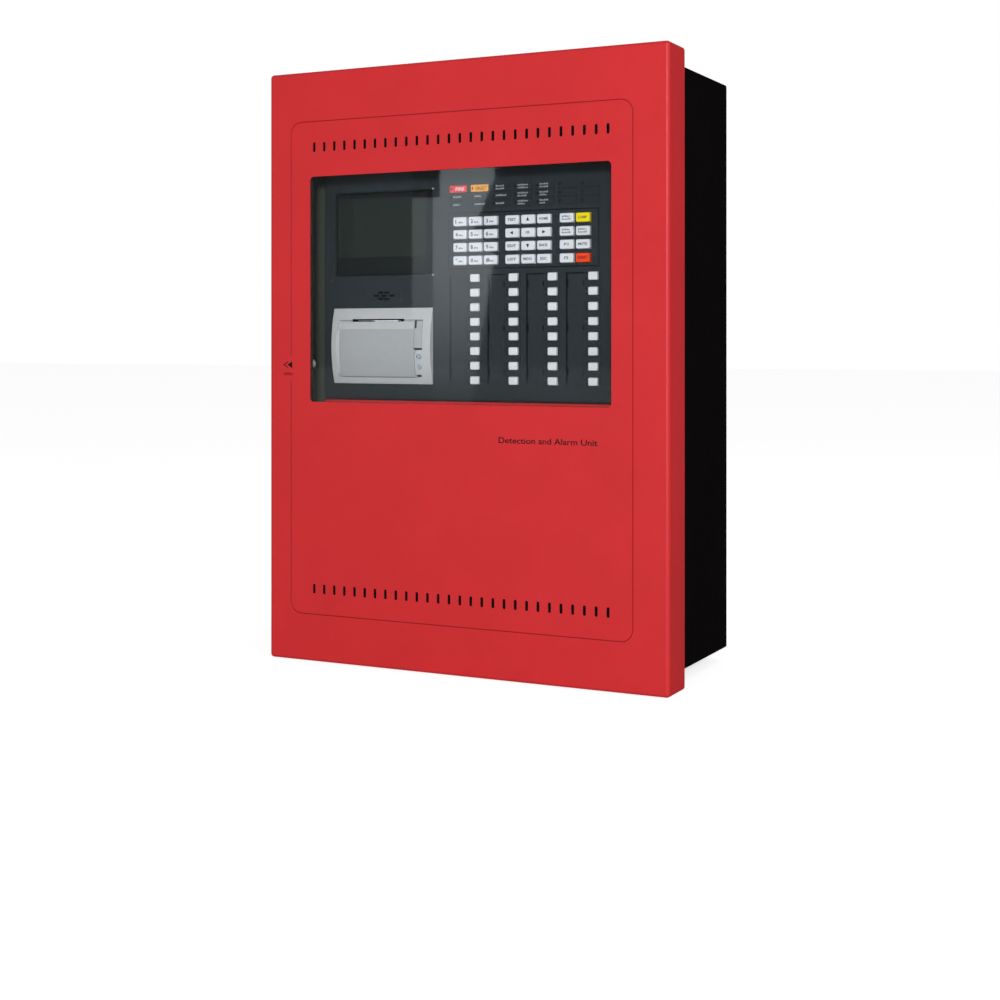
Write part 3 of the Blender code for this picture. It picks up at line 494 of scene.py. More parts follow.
def tube(points, radius, closed=False):
    """A round bar along (x, depth, z) points."""
    curve = bpy.data.curves.new("tube", "CURVE")
    curve.dimensions = "3D"
    curve.bevel_depth = radius * MM
    curve.bevel_resolution = 3
    curve.use_fill_caps = not closed
    spline = curve.splines.new("POLY")
    spline.points.add(len(points) - 1)
    for point, place in zip(spline.points, points):
        point.co = (*at(*place), 1.0)
    spline.use_cyclic_u = closed
    bm = taken_from(new_object("tube", curve))
    bmesh.ops.remove_doubles(bm, verts=bm.verts, dist=1e-7)
    bmesh.ops.recalc_face_normals(bm, faces=bm.faces)
    return bm


def rounded_loop(x, z, radius, steps=10):
    """(x, z) points round a rectangle with round corners, clockwise from the top of its left side."""
    corners = (
        (x[0] + radius, z[1] - radius, 180.0), (x[1] - radius, z[1] - radius, 90.0),
        (x[1] - radius, z[0] + radius, 0.0), (x[0] + radius, z[0] + radius, -90.0),
    )
    points = []
    for corner_x, corner_z, start in corners:
        for step in range(steps + 1):
            turn = math.radians(start - 90.0 * step / steps)
            points.append((corner_x + radius * math.cos(turn), corner_z + radius * math.sin(turn)))
    return points


def soften(bm, width=0.25, segments=2, sharper=50.0, where=None):
    """Rounds the sharp edges, or only those whose ends both pass a test on panel coordinates."""
    def kept(edge):
        if not edge.is_manifold or edge.calc_face_angle(0.0) < math.radians(sharper):
            return False
        return where is None or all(where(*((vert.co - CORNER) / MM)) for vert in edge.verts)

    bmesh.ops.bevel(
        bm, geom=[edge for edge in bm.edges if kept(edge)], offset=width * MM,
        segments=segments, profile=0.5, affect="EDGES", clamp_overlap=False,
    )
    return bm


def cad_copy(node):
    """A CAD node's mesh with its split corners joined and its flat faces merged."""
    bm = bmesh.new()
    bm.from_mesh(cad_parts[node].data)
    for face in bm.faces:
        face.material_index = 0
    bmesh.ops.remove_doubles(bm, verts=bm.verts, dist=2e-6)
    bmesh.ops.dissolve_limit(bm, angle_limit=math.radians(0.5), verts=bm.verts, edges=bm.edges)
    return bm


def lettering(text, x, z, depth, height, width=None, centred=False, fineness=3, bold=0.004):
    """Thin raised print with its baseline at z; x is its left edge, or its middle if centred."""
    curve = bpy.data.curves.new("lettering", "FONT")
    curve.body = text
    curve.extrude = 0.5
    curve.offset = bold
    curve.resolution_u = fineness
    bm = taken_from(new_object("lettering", curve))
    bmesh.ops.remove_doubles(bm, verts=bm.verts, dist=1e-5)
    left = min(vert.co.x for vert in bm.verts)
    right = max(vert.co.x for vert in bm.verts)
    tall = height / max(vert.co.y for vert in bm.verts)
    wide = width / (right - left) if width else tall
    start = x - (right - left) * wide / 2 if centred else x
    for vert in bm.verts:
        out = PRINT_LIFT + PRINT_THICKNESS * (vert.co.z + 0.5)
        vert.co = at(start + (vert.co.x - left) * wide, depth - out, z + vert.co.y * tall)
    bmesh.ops.recalc_face_normals(bm, faces=bm.faces)
    return bm


def small_print(x, z, width, height, depth, letters=0):
    """Short printed strokes in a row that stand for one line of small wording, from its left edge."""
    count = letters or max(3, round(width / 1.9))
    pitch = width / count
    bm = bmesh.new()
    for letter in range(count):
        tall = height * (0.82, 1.0, 0.7, 0.92, 0.76)[(letter * 3 + count) % 5]
        left = x + letter * pitch
        bottom = z - height / 2
        add_block(bm, (left, left + pitch * 0.62), print_span(depth), (bottom, bottom + tall))
    return bm


def add_piece(name, bm, looks, body, stands_for=(), smooth=35.0):
    """Makes one named piece of the visual model, riding on a CAD body."""
    bmesh.ops.recalc_face_normals(bm, faces=bm.faces)
    obj = loose_object(bm, name)
    obj.data.shade_smooth()
    obj.data.set_sharp_from_angle(angle=math.radians(smooth))
    looks = [looks] if isinstance(looks, str) else looks
    for look in looks:
        obj.data.materials.append(LOOKS[look].material)
    flat = obj.modifiers.new("flat_faces", "WEIGHTED_NORMAL")
    flat.keep_sharp = True
    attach(obj, body)
    if stands_for:
        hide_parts(*stands_for)
    return obj


def add_copy(node, name, look, body, edge=0.3, segments=2):
    """Makes the piece that stands for a CAD node: its shape, with softened edges."""
    return add_piece(name, soften(cad_copy(node), edge, segments), look, body, [node])


def add_screws(name, node, inset, radius):
    """Four zinc plated screws near the corners of a flat panel."""
    x, depth, z = spans(node)
    screws = bmesh.new()
    for screw_x in grown(x, -inset):
        for screw_z in grown(z, -inset):
            merge(screws, screw_head(screw_x, depth[0], screw_z, radius))
    add_piece(name, screws, "zinc_plate", "cabinet")


def screw_head(x, depth, z, radius):
    """A domed pan head with a cross recess, facing forward."""
    rise = 0.56 * radius
    bm = cylinder((x, depth - rise / 2, z), radius, rise)
    soften(bm, 0.6 * rise, segments=4, where=lambda _x, d, _z: d < depth - rise / 2)
    arm = 0.22 * radius
    recess = (depth - 2 * rise, depth - 0.45 * rise)
    upright = block(around(x, arm), recess, around(z, radius))
    level = block(around(x, radius), recess, around(z, arm))
    return combine(combine(bm, upright), level)


# ---------------- door


def make_door():
    x, depth, z = spans("door")
    bm = block(x, depth, z)
    back = max(bm.faces, key=lambda face: face.calc_center_median().y)
    bmesh.ops.delete(bm, geom=[back], context="FACES")
    folds = [edge for edge in bm.edges if not edge.is_boundary]
    bmesh.ops.bevel(bm, geom=folds, offset=DOOR_FOLD * MM, segments=8, profile=0.5, affect="EDGES")
    obj = loose_object(bm, "pan")
    sheet = obj.modifiers.new("sheet", "SOLIDIFY")
    sheet.thickness = SHEET * MM
    sheet.offset = -1.0
    sheet.use_even_offset = True
    bm = taken_from(obj)

    through = (depth[0] - SHEET, depth[0] + 3 * SHEET)
    holes = block(*window_spans(), radius=WINDOW_CORNER, segments=8)
    for row_z in VENT_ROWS_Z:
        for column in range(VENT_COUNT):
            vent_x = around(VENT_FIRST_X + column * VENT_PITCH, VENT_SIZE[0])
            vent_z = around(row_z, VENT_SIZE[1])
            add_block(holes, vent_x, through, vent_z, radius=VENT_END_RADIUS, segments=6)
    lock_depth, lock_z = middle(spans("lock_housing")[1]), middle(spans("lock_housing")[2])
    add_cylinder(holes, (x[0], lock_depth, lock_z), LOCK_HOLE_RADIUS, 8.0, axis="X")
    bm = combine(bm, holes)
    soften(bm, 0.22, where=lambda _x, d, _z: d < depth[0] + 4 * SHEET)
    bm = combine(bm, groove_tool())
    # Faces inside the pressed line take the darker red, as painted shade in the groove.
    for face in bm.faces:
        face_x, face_depth, face_z = (face.calc_center_median() - CORNER) / MM
        if 0.02 < face_depth - depth[0] < SHEET - 0.02 and abs(off_groove(face_x, face_z)) < 1.5:
            face.material_index = 1
    add_piece("door_shell", bm, ["red_paint", "groove_shade_red"], "door", ["door"])


def make_vent_filters():
    """A strip of black dust filter behind each row of vents."""
    back = door_front() + SHEET
    row_x = grown((VENT_FIRST_X, VENT_FIRST_X + (VENT_COUNT - 1) * VENT_PITCH), FILTER_MARGIN)
    filters = bmesh.new()
    for row_z in VENT_ROWS_Z:
        strip = block(row_x, (back + 0.05, back + 1.6), around(row_z, FILTER_HEIGHT), radius=2.0)
        merge(filters, soften(strip, 0.3))
    add_piece("vent_filters", filters, "recess_black", "door")


def off_groove(x, z):
    """Distance outward from the pressed line's rounded rectangle."""
    out_x = abs(x - middle(GROOVE_X)) - (GROOVE_X[1] - GROOVE_X[0]) / 2 + GROOVE_CORNER
    out_z = abs(z - middle(GROOVE_Z)) - (GROOVE_Z[1] - GROOVE_Z[0]) / 2 + GROOVE_CORNER
    return math.hypot(max(out_x, 0.0), max(out_z, 0.0)) + min(max(out_x, out_z), 0.0) - GROOVE_CORNER


def window_spans():
    """The window opening, from the pane that laps it all round."""
    x, _, z = spans("window_pane")
    front = door_front()
    return grown(x, -PANE_LAP), (front - SHEET, front + 3 * SHEET), grown(z, -PANE_LAP)


def groove_tool():
    """A round bar laid along the pressed line, which is broken beside the lock."""
    loop = rounded_loop(GROOVE_X, GROOVE_Z, GROOVE_CORNER)
    path = [(GROOVE_X[0], GROOVE_BREAK_Z[1])] + loop + [(GROOVE_X[0], GROOVE_BREAK_Z[0])]
    return tube([(x, -0.1, z) for x, z in path], GROOVE_RADIUS)


def make_window():
    glass = add_copy("window_pane", "window_glass", "clear_pane", "door")
    glass.visible_shadow = False
    glass.visible_diffuse = False
    add_copy("window_retainer", "window_frame", "black_plastic", "door")


def make_title():
    """The door's wording: plain, generic and in one ink."""
    place = (TITLE_X, TITLE_Z, door_front())
    bm = lettering(TITLE_TEXT, *place, TITLE_HEIGHT, TITLE_WIDTH, fineness=6, bold=0.01)
    add_piece("door_title", bm, "print_black", "door")


def make_open_mark():
    """Two arrowheads that point to the lock, one outlined and one filled, over a small word."""
    front = door_front()
    mark_z = middle(spans("lock_housing")[2]) - MARK_DROP
    outline, inside, filled = (
        [(x, mark_z + rise) for x, rise in points] for points in (MARK_OUTLINE, MARK_INSIDE, MARK_FILLED)
    )
    bm = combine(prism(outline, print_span(front)), prism(inside, grown(print_span(front), 1.0)))
    merge(bm, prism(filled, print_span(front)))
    width, height = MARK_WORD_SIZE
    place = (MARK_WORD_X, mark_z - MARK_WORD_DROP, front)
    merge(bm, lettering("OPEN", *place, height, width, centred=True, bold=0.06), 1)
    add_piece("open_mark", bm, ["print_black", "print_maroon"], "door")


# ---------------- lock and hinges


def make_lock():
    add_copy("lock_housing", "lock_tube", "bright_steel", "door", 0.5, segments=3)
    add_copy("lock_barrel", "lock_plug", "bright_steel", "lock")
    add_copy("lock_cam", "lock_cam_plate", "black_steel", "lock")
    depth, z = (middle(span) for span in spans("lock_housing")[1:])
    end = spans("lock_barrel")[0][1]
    cap = cylinder((end + 0.9, depth, z), *LOCK_SCREW_SIZE, axis="X", steps=40)
    soften(cap, 1.4, segments=5, where=lambda x, _d, _z: x > end)
    add_piece("lock_screw", cap, "bright_steel", "lock")
    washer = cylinder((end - 0.8, depth, z), *LOCK_WASHER_SIZE, axis="X", steps=48)
    add_piece("lock_washer", soften(washer, 0.3), "black_steel", "lock")
    nut = soften(cylinder((LOCK_NUT_X, depth, z), *LOCK_NUT_SIZE, axis="X", steps=6), 0.5)
    nut = combine(nut, cylinder((LOCK_NUT_X, depth, z), LOCK_NUT_BORE, 8.0, axis="X"))
    add_piece("lock_nut", nut, "black_steel", "door")


def make_hinges():
    for which in ("lower", "upper"):
        for half, body in (("box", "cabinet"), ("door", "door")):
            leaf = f"{which}_hinge_{half}_leaf"
            add_copy(leaf, f"{which}_hinge_{half}_plate", "zinc_plate", body, 0.2)


# ---------------- cabinet


def make_back_box():
    add_copy("back_box", "box_shell", "black_paint", "cabinet", 0.25)
    _, depth, z = spans("back_box")
    hole, ring = KNOCKOUT_RADII
    knockouts = bmesh.new()
    for edge_z in (z[0] - 0.15, z[1] + 0.15):
        for knockout_x in KNOCKOUTS_X:
            place = (knockout_x, KNOCKOUT_DEPTH, edge_z)
            middle_hole = cylinder(place, hole, 2.0, axis="Z", steps=48)
            merge(knockouts, combine(cylinder(place, ring, 0.5, axis="Z", steps=48), middle_hole))
    add_piece("box_knockouts", knockouts, "black_paint", "cabinet")
    make_entry_seal(depth[1] - SHEET)


def make_entry_seal(back):
    """A rubber sheet with slits, behind the rear cable entry."""
    seal = block(ENTRY_SEAL_X, (back - 2.3, back - 0.05), ENTRY_SEAL_Z, radius=6.0)
    slits = bmesh.new()
    for slit_x in ENTRY_SLITS_X:
        add_block(slits, around(slit_x, 0.5), (back - 4.0, back + 2.0), ENTRY_SLIT_Z)
    add_piece("cable_entry_seal", soften(combine(seal, slits), 0.15), "platen_rubber", "cabinet")


def make_plates():
    """The inner plate and the lower cover, each held by four screws."""
    add_copy("mounting_plate", "inner_plate", "olive_paint", "cabinet", 0.25)
    add_screws("inner_plate_screws", "mounting_plate", 13.0, 3.8)
    add_copy("lower_cover", "lower_cover_panel", "red_paint", "cabinet", 0.25)
    add_screws("lower_cover_screws", "lower_cover", 9.0, 3.0)


def make_power_and_board():
    add_copy("power_supply", "power_supply_case", "zinc_plate", "cabinet")
    for number in (1, 2):
        add_copy(f"battery_{number}", f"battery_case_{number}", "battery_case", "cabinet", 0.4)
    add_copy("main_board", "circuit_board", "board_green", "cabinet", 0.1)


# ---------------- control facia


def zone_columns():
    """Middle x of each zone key column."""
    first, last = ZONE_OUTER_COLUMNS_X
    return [first + (last - first) * column / (ZONE_COLUMNS - 1) for column in range(ZONE_COLUMNS)]


def zone_rows():
    return [ZONE_TOP_ROW_Z - row * ZONE_ROW_PITCH for row in range(ZONE_ROWS)]


def zone_keys():
    """The middle of every zone key."""
    return [(x, z) for x in zone_columns() for z in zone_rows()]


def keypad_loop(depth, radius):
    """A closed round bar along the outline of the keypad."""
    loop = rounded_loop(KEYPAD_FRAME_X, KEYPAD_FRAME_Z, 2.0, 4)
    return tube([(x, depth, z) for x, z in loop], radius, closed=True)


def make_facia():
    front = facia_front()
    bm = soften(cad_copy("control_facia"), 0.25, where=lambda _x, d, _z: d < front + 0.2)
    bm = combine(bm, keypad_loop(front - 0.1, KEYPAD_GROOVE_RADIUS))
    cuts = bmesh.new()
    for cell in range(CELL_COUNT):
        left = CELL_FIRST_X + cell * CELL_PITCH
        add_block(cuts, (left, left + CELL_WIDTH), (front - 1.0, front + 0.3), CELL_Z, radius=1.2)
    for column_x in zone_columns():
        pocket_x = (column_x - ZONE_POCKET_REACH[0], column_x + ZONE_POCKET_REACH[1])
        add_block(cuts, pocket_x, (front - 1.0, front + 0.5), ZONE_POCKET_Z, radius=0.8)
    bm = combine(bm, cuts)
    bm = combine(bm, grille_tools(front))
    add_piece("facia_panel", bm, "charcoal_facia", "cabinet", ["control_facia"])
    cloth = block(SOUNDER_CLOTH_X, (front + 2.6, front + 2.9), SOUNDER_CLOTH_Z, radius=1.0)
    add_piece("sounder_cloth", cloth, "recess_black", "cabinet")


def grille_tools(front):
    """Slots that widen the seven sounder openings, and shallow sound-wave arcs at both sides of them."""
    tools = bmesh.new()
    width, height = GRILLE_SLOT
    for x, z in GRILLE_OPENINGS:
        slot_depth = (front - 1.0, front + 4.0)
        add_block(tools, around(x, width), slot_depth, around(z, height), radius=1.3, segments=5)
    centre_x, centre_z = GRILLE_CENTRE
    for side in (-1.0, 1.0):
        for radius in SOUND_ARC_RADII:
            arc = [
                (centre_x + side * radius * math.cos(turn), front - 0.12, centre_z + radius * math.sin(turn))
                for turn in SOUND_ARC_TURNS
            ]
            merge(tools, tube(arc, 0.5))
    return tools


def make_zone_strips():
    """A label strip in each zone pocket, on a near-black carrier that shows at its left, its top and its
    notches as painted shadow lines.
    """
    front = facia_front()
    under = (front + 0.30, front + 0.48)
    strips, carriers, lamps = bmesh.new(), bmesh.new(), bmesh.new()
    for column_x in zone_columns():
        left = column_x - ZONE_POCKET_REACH[0]
        edge = left + ZONE_SHADE_LINE_WIDTH
        right = edge + ZONE_STRIP_WIDTH
        add_block(carriers, (left, right + 1.6), under, ZONE_POCKET_Z, radius=0.6)
        merge(strips, zone_label_strip(edge, right, front))
        bar_x, bar_z = (right + 0.1, column_x + 8.0), grown(ZONE_POCKET_Z, -0.4)
        add_block(strips, bar_x, (front + 0.05, front + 0.48), bar_z, radius=0.6, segments=2)
        lamp_x = around(column_x - ZONE_LAMP_OFFSET, ZONE_LAMP_SIZE[0])
        for row_z in zone_rows():
            for lamp_z in around(row_z, ZONE_LAMP_PITCH):
                lamp_span = around(lamp_z, ZONE_LAMP_SIZE[1])
                add_block(lamps, lamp_x, (front - 0.1, front + 0.04), lamp_span, radius=0.5, segments=3)
    tools = bmesh.new()
    width, height = ZONE_KEY_SIZE
    for x, z in zone_keys():
        add_block(tools, around(x, width), (front - 1.0, front + 1.0), around(z, height))
    add_piece("zone_label_strips", combine(strips, tools), "charcoal_facia", "cabinet")
    # The carriers' near-black paints the shade along the pockets' left and top edges and in the notches.
    add_piece("zone_strip_shade_carriers", carriers, "recess_black", "cabinet")
    add_piece("zone_lamps", lamps, "lamp_dark", "cabinet")


def zone_label_strip(left, right, front):
    """One label strip, with three thumb notches at its right and three small ones at its left."""
    strip_z = (ZONE_POCKET_Z[0] + 0.4, ZONE_POCKET_Z[1] - 1.4)
    strip = block((left, right), (front + 0.05, front + 0.29), strip_z, radius=0.6, segments=2)
    tools = bmesh.new()
    for notch_z in ZONE_NOTCHES_Z:
        add_cylinder(tools, (right + 2.4, front, notch_z), 4.2, 4.0, steps=40)
        add_block(tools, around(left, 2.6), (front - 1.0, front + 1.0), around(notch_z, 9.0), radius=1.2)
    return soften(combine(strip, tools), 0.05, segments=1)


def make_indicators():
    """Seven cells of three label cards, each with a small lamp at its left; the first two cards are lit."""
    floor = facia_front() + 0.3
    card_front = floor - 0.2
    cards, prints, lamps, carriers = bmesh.new(), bmesh.new(), bmesh.new(), bmesh.new()
    for cell in range(CELL_COUNT):
        left = CELL_FIRST_X + cell * CELL_PITCH
        cell_x = (left, left + CELL_WIDTH)
        carrier_x, carrier_z = grown(cell_x, -0.05), grown(CELL_Z, -0.05)
        add_block(carriers, carrier_x, (floor - 0.08, floor - 0.01), carrier_z, radius=1.1)
        for row, row_z in enumerate(CELL_ROWS_Z):
            card_depth, card_z = (card_front, floor - 0.09), around(row_z, CARD_HEIGHT)
            card = block(grown(cell_x, -CARD_MARGIN), card_depth, card_z, radius=0.8, segments=3)
            merge(cards, card, cell + 1 if row == 0 and cell < 2 else 0)
            lamp_x, lamp_z = around(left + 2.8, 1.4), around(row_z, 3.0)
            add_block(lamps, lamp_x, (floor - 0.4, floor - 0.21), lamp_z, radius=0.6, segments=3)
            for line in printed_lines(cell, row, left + 5.4, row_z, card_front):
                merge(prints, line)
    labels = bmesh.new()
    for number, (word, x, width) in enumerate(LIT_LABELS):
        label = lettering(word, x, LIT_LABEL_Z, card_front, LIT_LABEL_HEIGHT, width, bold=0.02)
        merge(labels, label, number)
    add_piece("indicator_carriers", carriers, "black_plastic", "cabinet")
    add_piece("indicator_cards", cards, ["label_card", "label_red", "label_amber"], "cabinet")
    add_piece("indicator_prints", prints, "print_grey", "cabinet")
    add_piece("indicator_names", labels, ["print_white", "print_maroon"], "cabinet")
    add_piece("indicator_lamps", lamps, "lamp_dark", "cabinet")


def printed_lines(cell, row, x, z, depth):
    """Plain strokes in place of an indicator's wording: one line, or two short ones in the middle cells."""
    if cell >= 5 or (row == 0 and cell < 2):
        return []
    if cell in (3, 4) or (cell == 2 and row == 0):
        width = 13.5 if cell == 3 else 11.0
        upper = small_print(x, z + 1.6, width, 1.9, depth)
        return [upper, small_print(x, z - 1.6, width - 2.0 * row, 1.9, depth)]
    return [small_print(x, z, (14.0, 11.0, 9.5)[(cell + row) % 3], 2.1, depth)]


def make_keypad_groove_shade():
    """A thin black round bar laid in the groove around the keypad: painted shade that darkens the groove."""
    add_piece("keypad_groove_shade", keypad_loop(facia_front() + 0.2, KEYPAD_SHADE_BAR_RADIUS), "black_plastic", "cabinet")


def make_display():
    x, _, z = spans("lcd_module")
    front, floor = facia_front(), DISPLAY_FLOOR
    add_copy("lcd_module", "display_tray", "black_plastic", "cabinet")
    screen_x = (x[0] + 1.1, DISPLAY_RIGHT_X)
    screen = block(screen_x, (floor - 0.9, floor - 0.01), DISPLAY_SCREEN_Z, radius=1.0, segments=3)
    add_piece("display_screen", soften(screen, 0.25), "display_glass", "cabinet")
    ribs = bmesh.new()
    for rib_x, rise in DISPLAY_RIBS:
        add_block(ribs, around(rib_x, 0.9), (floor - rise, floor - 0.01), grown(z, -1.8))
    band_x, band_z = (x[0] + 1.4, DISPLAY_RIGHT_X), (z[0] + 2.0, DISPLAY_BAND_TOP_Z)
    add_block(ribs, band_x, (floor - 0.5, floor - 0.01), band_z, radius=0.8)
    add_piece("display_frame", ribs, "black_plastic", "cabinet")
    screws, lamps = bmesh.new(), bmesh.new()
    for screw_z in grown(z, 0.9):
        merge(screws, screw_head(x[1] + 1.0, front, screw_z, 1.1))
    add_piece("display_screws", screws, "bright_steel", "cabinet")
    for lamp_x, lamp_z in FACIA_LAMPS:
        add_cylinder(lamps, (lamp_x, front - 0.1, lamp_z), *FACIA_LAMP_SIZE)
    add_piece("facia_lamps", soften(lamps, 0.15), "lamp_red", "cabinet")


# ---------------- keys

ARROWS = {
    "navigation_key_12": 90.0, "navigation_key_21": 180.0,
    "navigation_key_23": 0.0, "navigation_key_32": -90.0,
}
WORDS = {
    "navigation_key_11": "TEST", "navigation_key_13": "HOME", "navigation_key_22": "OK",
    "navigation_key_31": "EDIT", "navigation_key_33": "BACK", "navigation_key_41": "LIST",
    "navigation_key_42": "MENU", "navigation_key_43": "ESC", "function_key_12": "LAMP",
    "function_key_31": "F1", "function_key_32": "MUTE", "function_key_41": "F2", "function_key_42": "RESET",
}
NUMERALS = ("123", "456", "789", "*0#")
KEY_INKS = {"key_yellow": "print_brown", "key_red": "print_maroon"}
KEY_FINISHES = {"function_key_12": "key_yellow", "function_key_42": "key_red"}


def panel_depth(vert):
    return (vert.co.y - CORNER.y) / MM


def round_raised(bm, behind, corner, edge):
    """Rounds what stands in front of a depth: its edges along the depth first, and then its front rims."""
    rising = [e for e in bm.edges if abs((e.verts[0].co - e.verts[1].co).normalized().y) > 0.99 and
              min(panel_depth(vert) for vert in e.verts) < behind]
    bmesh.ops.bevel(bm, geom=rising, offset=corner * MM, segments=5, profile=0.5, affect="EDGES")
    rim_depth = min(min(panel_depth(vert) for vert in bm.verts) + 0.1, behind)
    rims = [e for e in bm.edges if all(panel_depth(vert) < rim_depth for vert in e.verts) and
            e.calc_face_angle(0.0) > math.radians(50.0)]
    bmesh.ops.bevel(bm, geom=rims, offset=edge * MM, segments=4, profile=0.5, affect="EDGES")
    return bm


def arrowhead(x, z, turn, depth):
    corners = [math.radians(turn + step) for step in (0.0, 130.0, 230.0)]
    points = [(x + ARROW_REACH * math.cos(a), z + ARROW_REACH * math.sin(a)) for a in corners]
    return prism(points, print_span(depth))


def key_legend(node, x, z, depth):
    """What is printed on one key, as a bmesh."""
    group, place = node.split("_key_")
    row, column = int(place[0]) - 1, int(place[1]) - 1
    if group == "numeric":
        bm = lettering(NUMERALS[row][column], x - 5.4, z - 2.1, depth, 4.4, bold=0.03)
        return merge(bm, small_print(x - 1.0, z - 1.0, 5.8, 2.0, depth, letters=3))
    if node in ARROWS:
        return arrowhead(x, z, ARROWS[node], depth)
    if node in WORDS:
        width = min(11.5, 2.7 * len(WORDS[node]))
        return lettering(WORDS[node], x, z - 1.3, depth, 2.9, width, centred=True, bold=0.03)
    bm = small_print(x - 5.4, z + 1.7, 10.0, 1.9, depth)
    return merge(bm, small_print(x - 5.4, z - 1.5, 11.0, 1.9, depth))


def make_keys():
    for node in sorted(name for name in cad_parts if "_key_" in name and "mat" not in name):
        x, depth, z = spans(node)
        bm = round_raised(cad_copy(node), KEY_SEAT_DEPTH, 1.7, 1.0)
        finish = KEY_FINISHES.get(node, "key_white")
        ink = "print_black" if node in ARROWS else KEY_INKS.get(finish, "key_legend")
        merge(bm, key_legend(node, middle(x), middle(z), depth[0]), 1)
        add_piece(f"{node}_cap", bm, [finish, ink], node, [node])


def make_zone_mat():
    depth = spans("zone_key_mat")[1]
    mat = round_raised(cad_copy("zone_key_mat"), depth[0] + 3.0, 1.2, 0.8)
    add_piece("zone_keys", mat, "key_rubber", "cabinet", ["zone_key_mat"])


# ---------------- printer


def arc_depth(z):
    """Depth of the printer's curved front at a height."""
    _, depth, height = spans("printer_bezel")
    half = (height[1] - height[0]) / 2
    rise = PRINTER_RIM_DEPTH - depth[0]
    radius = (half * half + rise * rise) / (2 * rise)
    offset = z - middle(height)
    return depth[0] + radius - math.sqrt(radius ** 2 - offset * offset)


def soften_curved_front(bm, width, segments=2):
    return soften(bm, width, segments, sharper=40.0, where=lambda _x, d, z: d < arc_depth(z) + 0.1)


def make_printer_bezel():
    depth = spans("printer_bezel")[1]
    door_x, _, door_z = spans("printer_door")
    bm = cad_copy("printer_bezel")
    through = grown(depth, 5.0)
    bm = combine(bm, front_strip(grown(door_x, 0.4), grown(door_z, 0.4), 1.0, sunk=1.5))
    bm = combine(bm, block(PAPER_SLOT_X, through, (door_z[1] - 1.0, PAPER_SLOT_Z[1]), radius=0.6))
    soften_curved_front(bm, 0.5, segments=3)
    add_piece("printer_housing", bm, "rim_grey", "cabinet", ["printer_bezel"])
    lamp_x, lamp_z = PRINTER_LAMP
    face = arc_depth(lamp_z)
    lamp = block(around(lamp_x, 6.0), (face - 0.35, face + 0.8), around(lamp_z, 2.6), radius=0.8)
    add_piece("printer_lamp", soften(lamp, 0.15), "lamp_dark", "cabinet")


def front_strip(x, z, thickness, sunk=0.3, steps=12):
    """A thin plate that follows the printer's curved front between two heights, partly sunk in it."""
    heights = [z[0] + (z[1] - z[0]) * step / steps for step in range(steps + 1)]
    outside = [(arc_depth(height) - thickness, height) for height in heights]
    inside = [(arc_depth(height) + sunk, height) for height in reversed(heights)]
    return side_prism(outside + inside, x)


def make_printer_door():
    bm = cad_copy("printer_door")
    x, depth, z = spans("printer_door")
    bm = combine(bm, block(PAPER_SLOT_X, (depth[0] - 5.0, depth[0] + 6.0), (PAPER_SLOT_Z[0], z[1] + 2.0)))
    soften_curved_front(bm, 0.35)
    add_piece("paper_door", bm, "light_grey", "printer_door", ["printer_door"])
    grip_x = (x[0] + 0.8, spans("printer_lever")[0][0] - 1.2)
    grip = front_strip(grip_x, (PAPER_DOOR_CREASE_Z, PAPER_SLOT_Z[0] - 0.4), 0.3)
    add_piece("paper_door_grip", soften(grip, 0.12), "rim_grey", "printer_door")


def make_printer_lever():
    x, depth, z = spans("printer_lever")
    left, right, top = x[0] - 1.0, x[0] + LEVER_NOTCH_WIDTH, z[1] + 1.0
    notch = [(left, top), (right, top), (right + 0.3, LEVER_NOTCH_Z), (left, LEVER_NOTCH_Z)]
    floor = arc_depth(400.0) + 1.6
    bm = combine(cad_copy("printer_lever"), prism(notch, (depth[0] - 3.0, floor)))
    soften_curved_front(bm, 0.3)
    add_piece("release_lever", bm, "light_grey", "printer_lever", ["printer_lever"])
    filler = block((x[0] + 0.1, right), (floor - 0.6, floor - 0.02), (LEVER_NOTCH_Z + 0.2, z[1] - 0.3))
    add_piece("lever_notch", filler, "black_plastic", "printer_lever")


def make_printer_buttons():
    for node in ("printer_feed_button", "printer_select_button"):
        front = spans(node)[1][0]
        bm = soften(cad_copy(node), 0.9, segments=4, where=lambda _x, d, _z: d < front + 0.1)
        add_piece(f"{node}_cap", bm, "button_grey", node, [node])


def make_printer_inside():
    add_copy("printer_mechanism", "paper_bucket", "black_plastic", "cabinet")
    add_copy("platen_roller", "platen", "platen_rubber", "platen")
    add_copy("paper_roll", "paper_coil", "thermal_paper", "paper_roll", 0.4)
    make_paper_end()


def make_paper_end():
    """The paper from the roll over the platen to the slot; a torn lip curls over part of the door."""
    x = spans("paper_roll")[0]
    slot_z = middle(PAPER_SLOT_Z)
    run = [*PAPER_RUN, (49.0, slot_z - 0.4)]
    columns = 60
    rows = []
    bm = bmesh.new()
    for step in range(columns + 1):
        across = x[0] + (x[1] - x[0]) * step / columns
        lip = min(max((across - PAPER_LIP_X) / 5.0, 0.0), 1.0)
        torn = 0.5 + 0.3 * math.sin(step * 1.9) + 0.2 * math.sin(step * 0.7)
        mouth = (arc_depth(slot_z) + 1.2 - 1.6 * lip, slot_z)
        low_z = slot_z - lip * (0.9 + torn)
        tip = (arc_depth(low_z) + 0.9 - lip * (1.3 + 0.4 * torn), low_z)
        rows.append([bm.verts.new(at(across, depth, z)) for depth, z in run + [mouth, tip]])
    for first, second in zip(rows, rows[1:]):
        for low in range(len(run) + 1):
            bm.faces.new((first[low], second[low], second[low + 1], first[low + 1]))
    obj = loose_object(bm, "sheet")
    sheet = obj.modifiers.new("sheet", "SOLIDIFY")
    sheet.thickness = 0.08 * MM
    sheet.offset = 0.0
    add_piece("paper_end", taken_from(obj), "thermal_paper", "cabinet")


# ---------------- stage


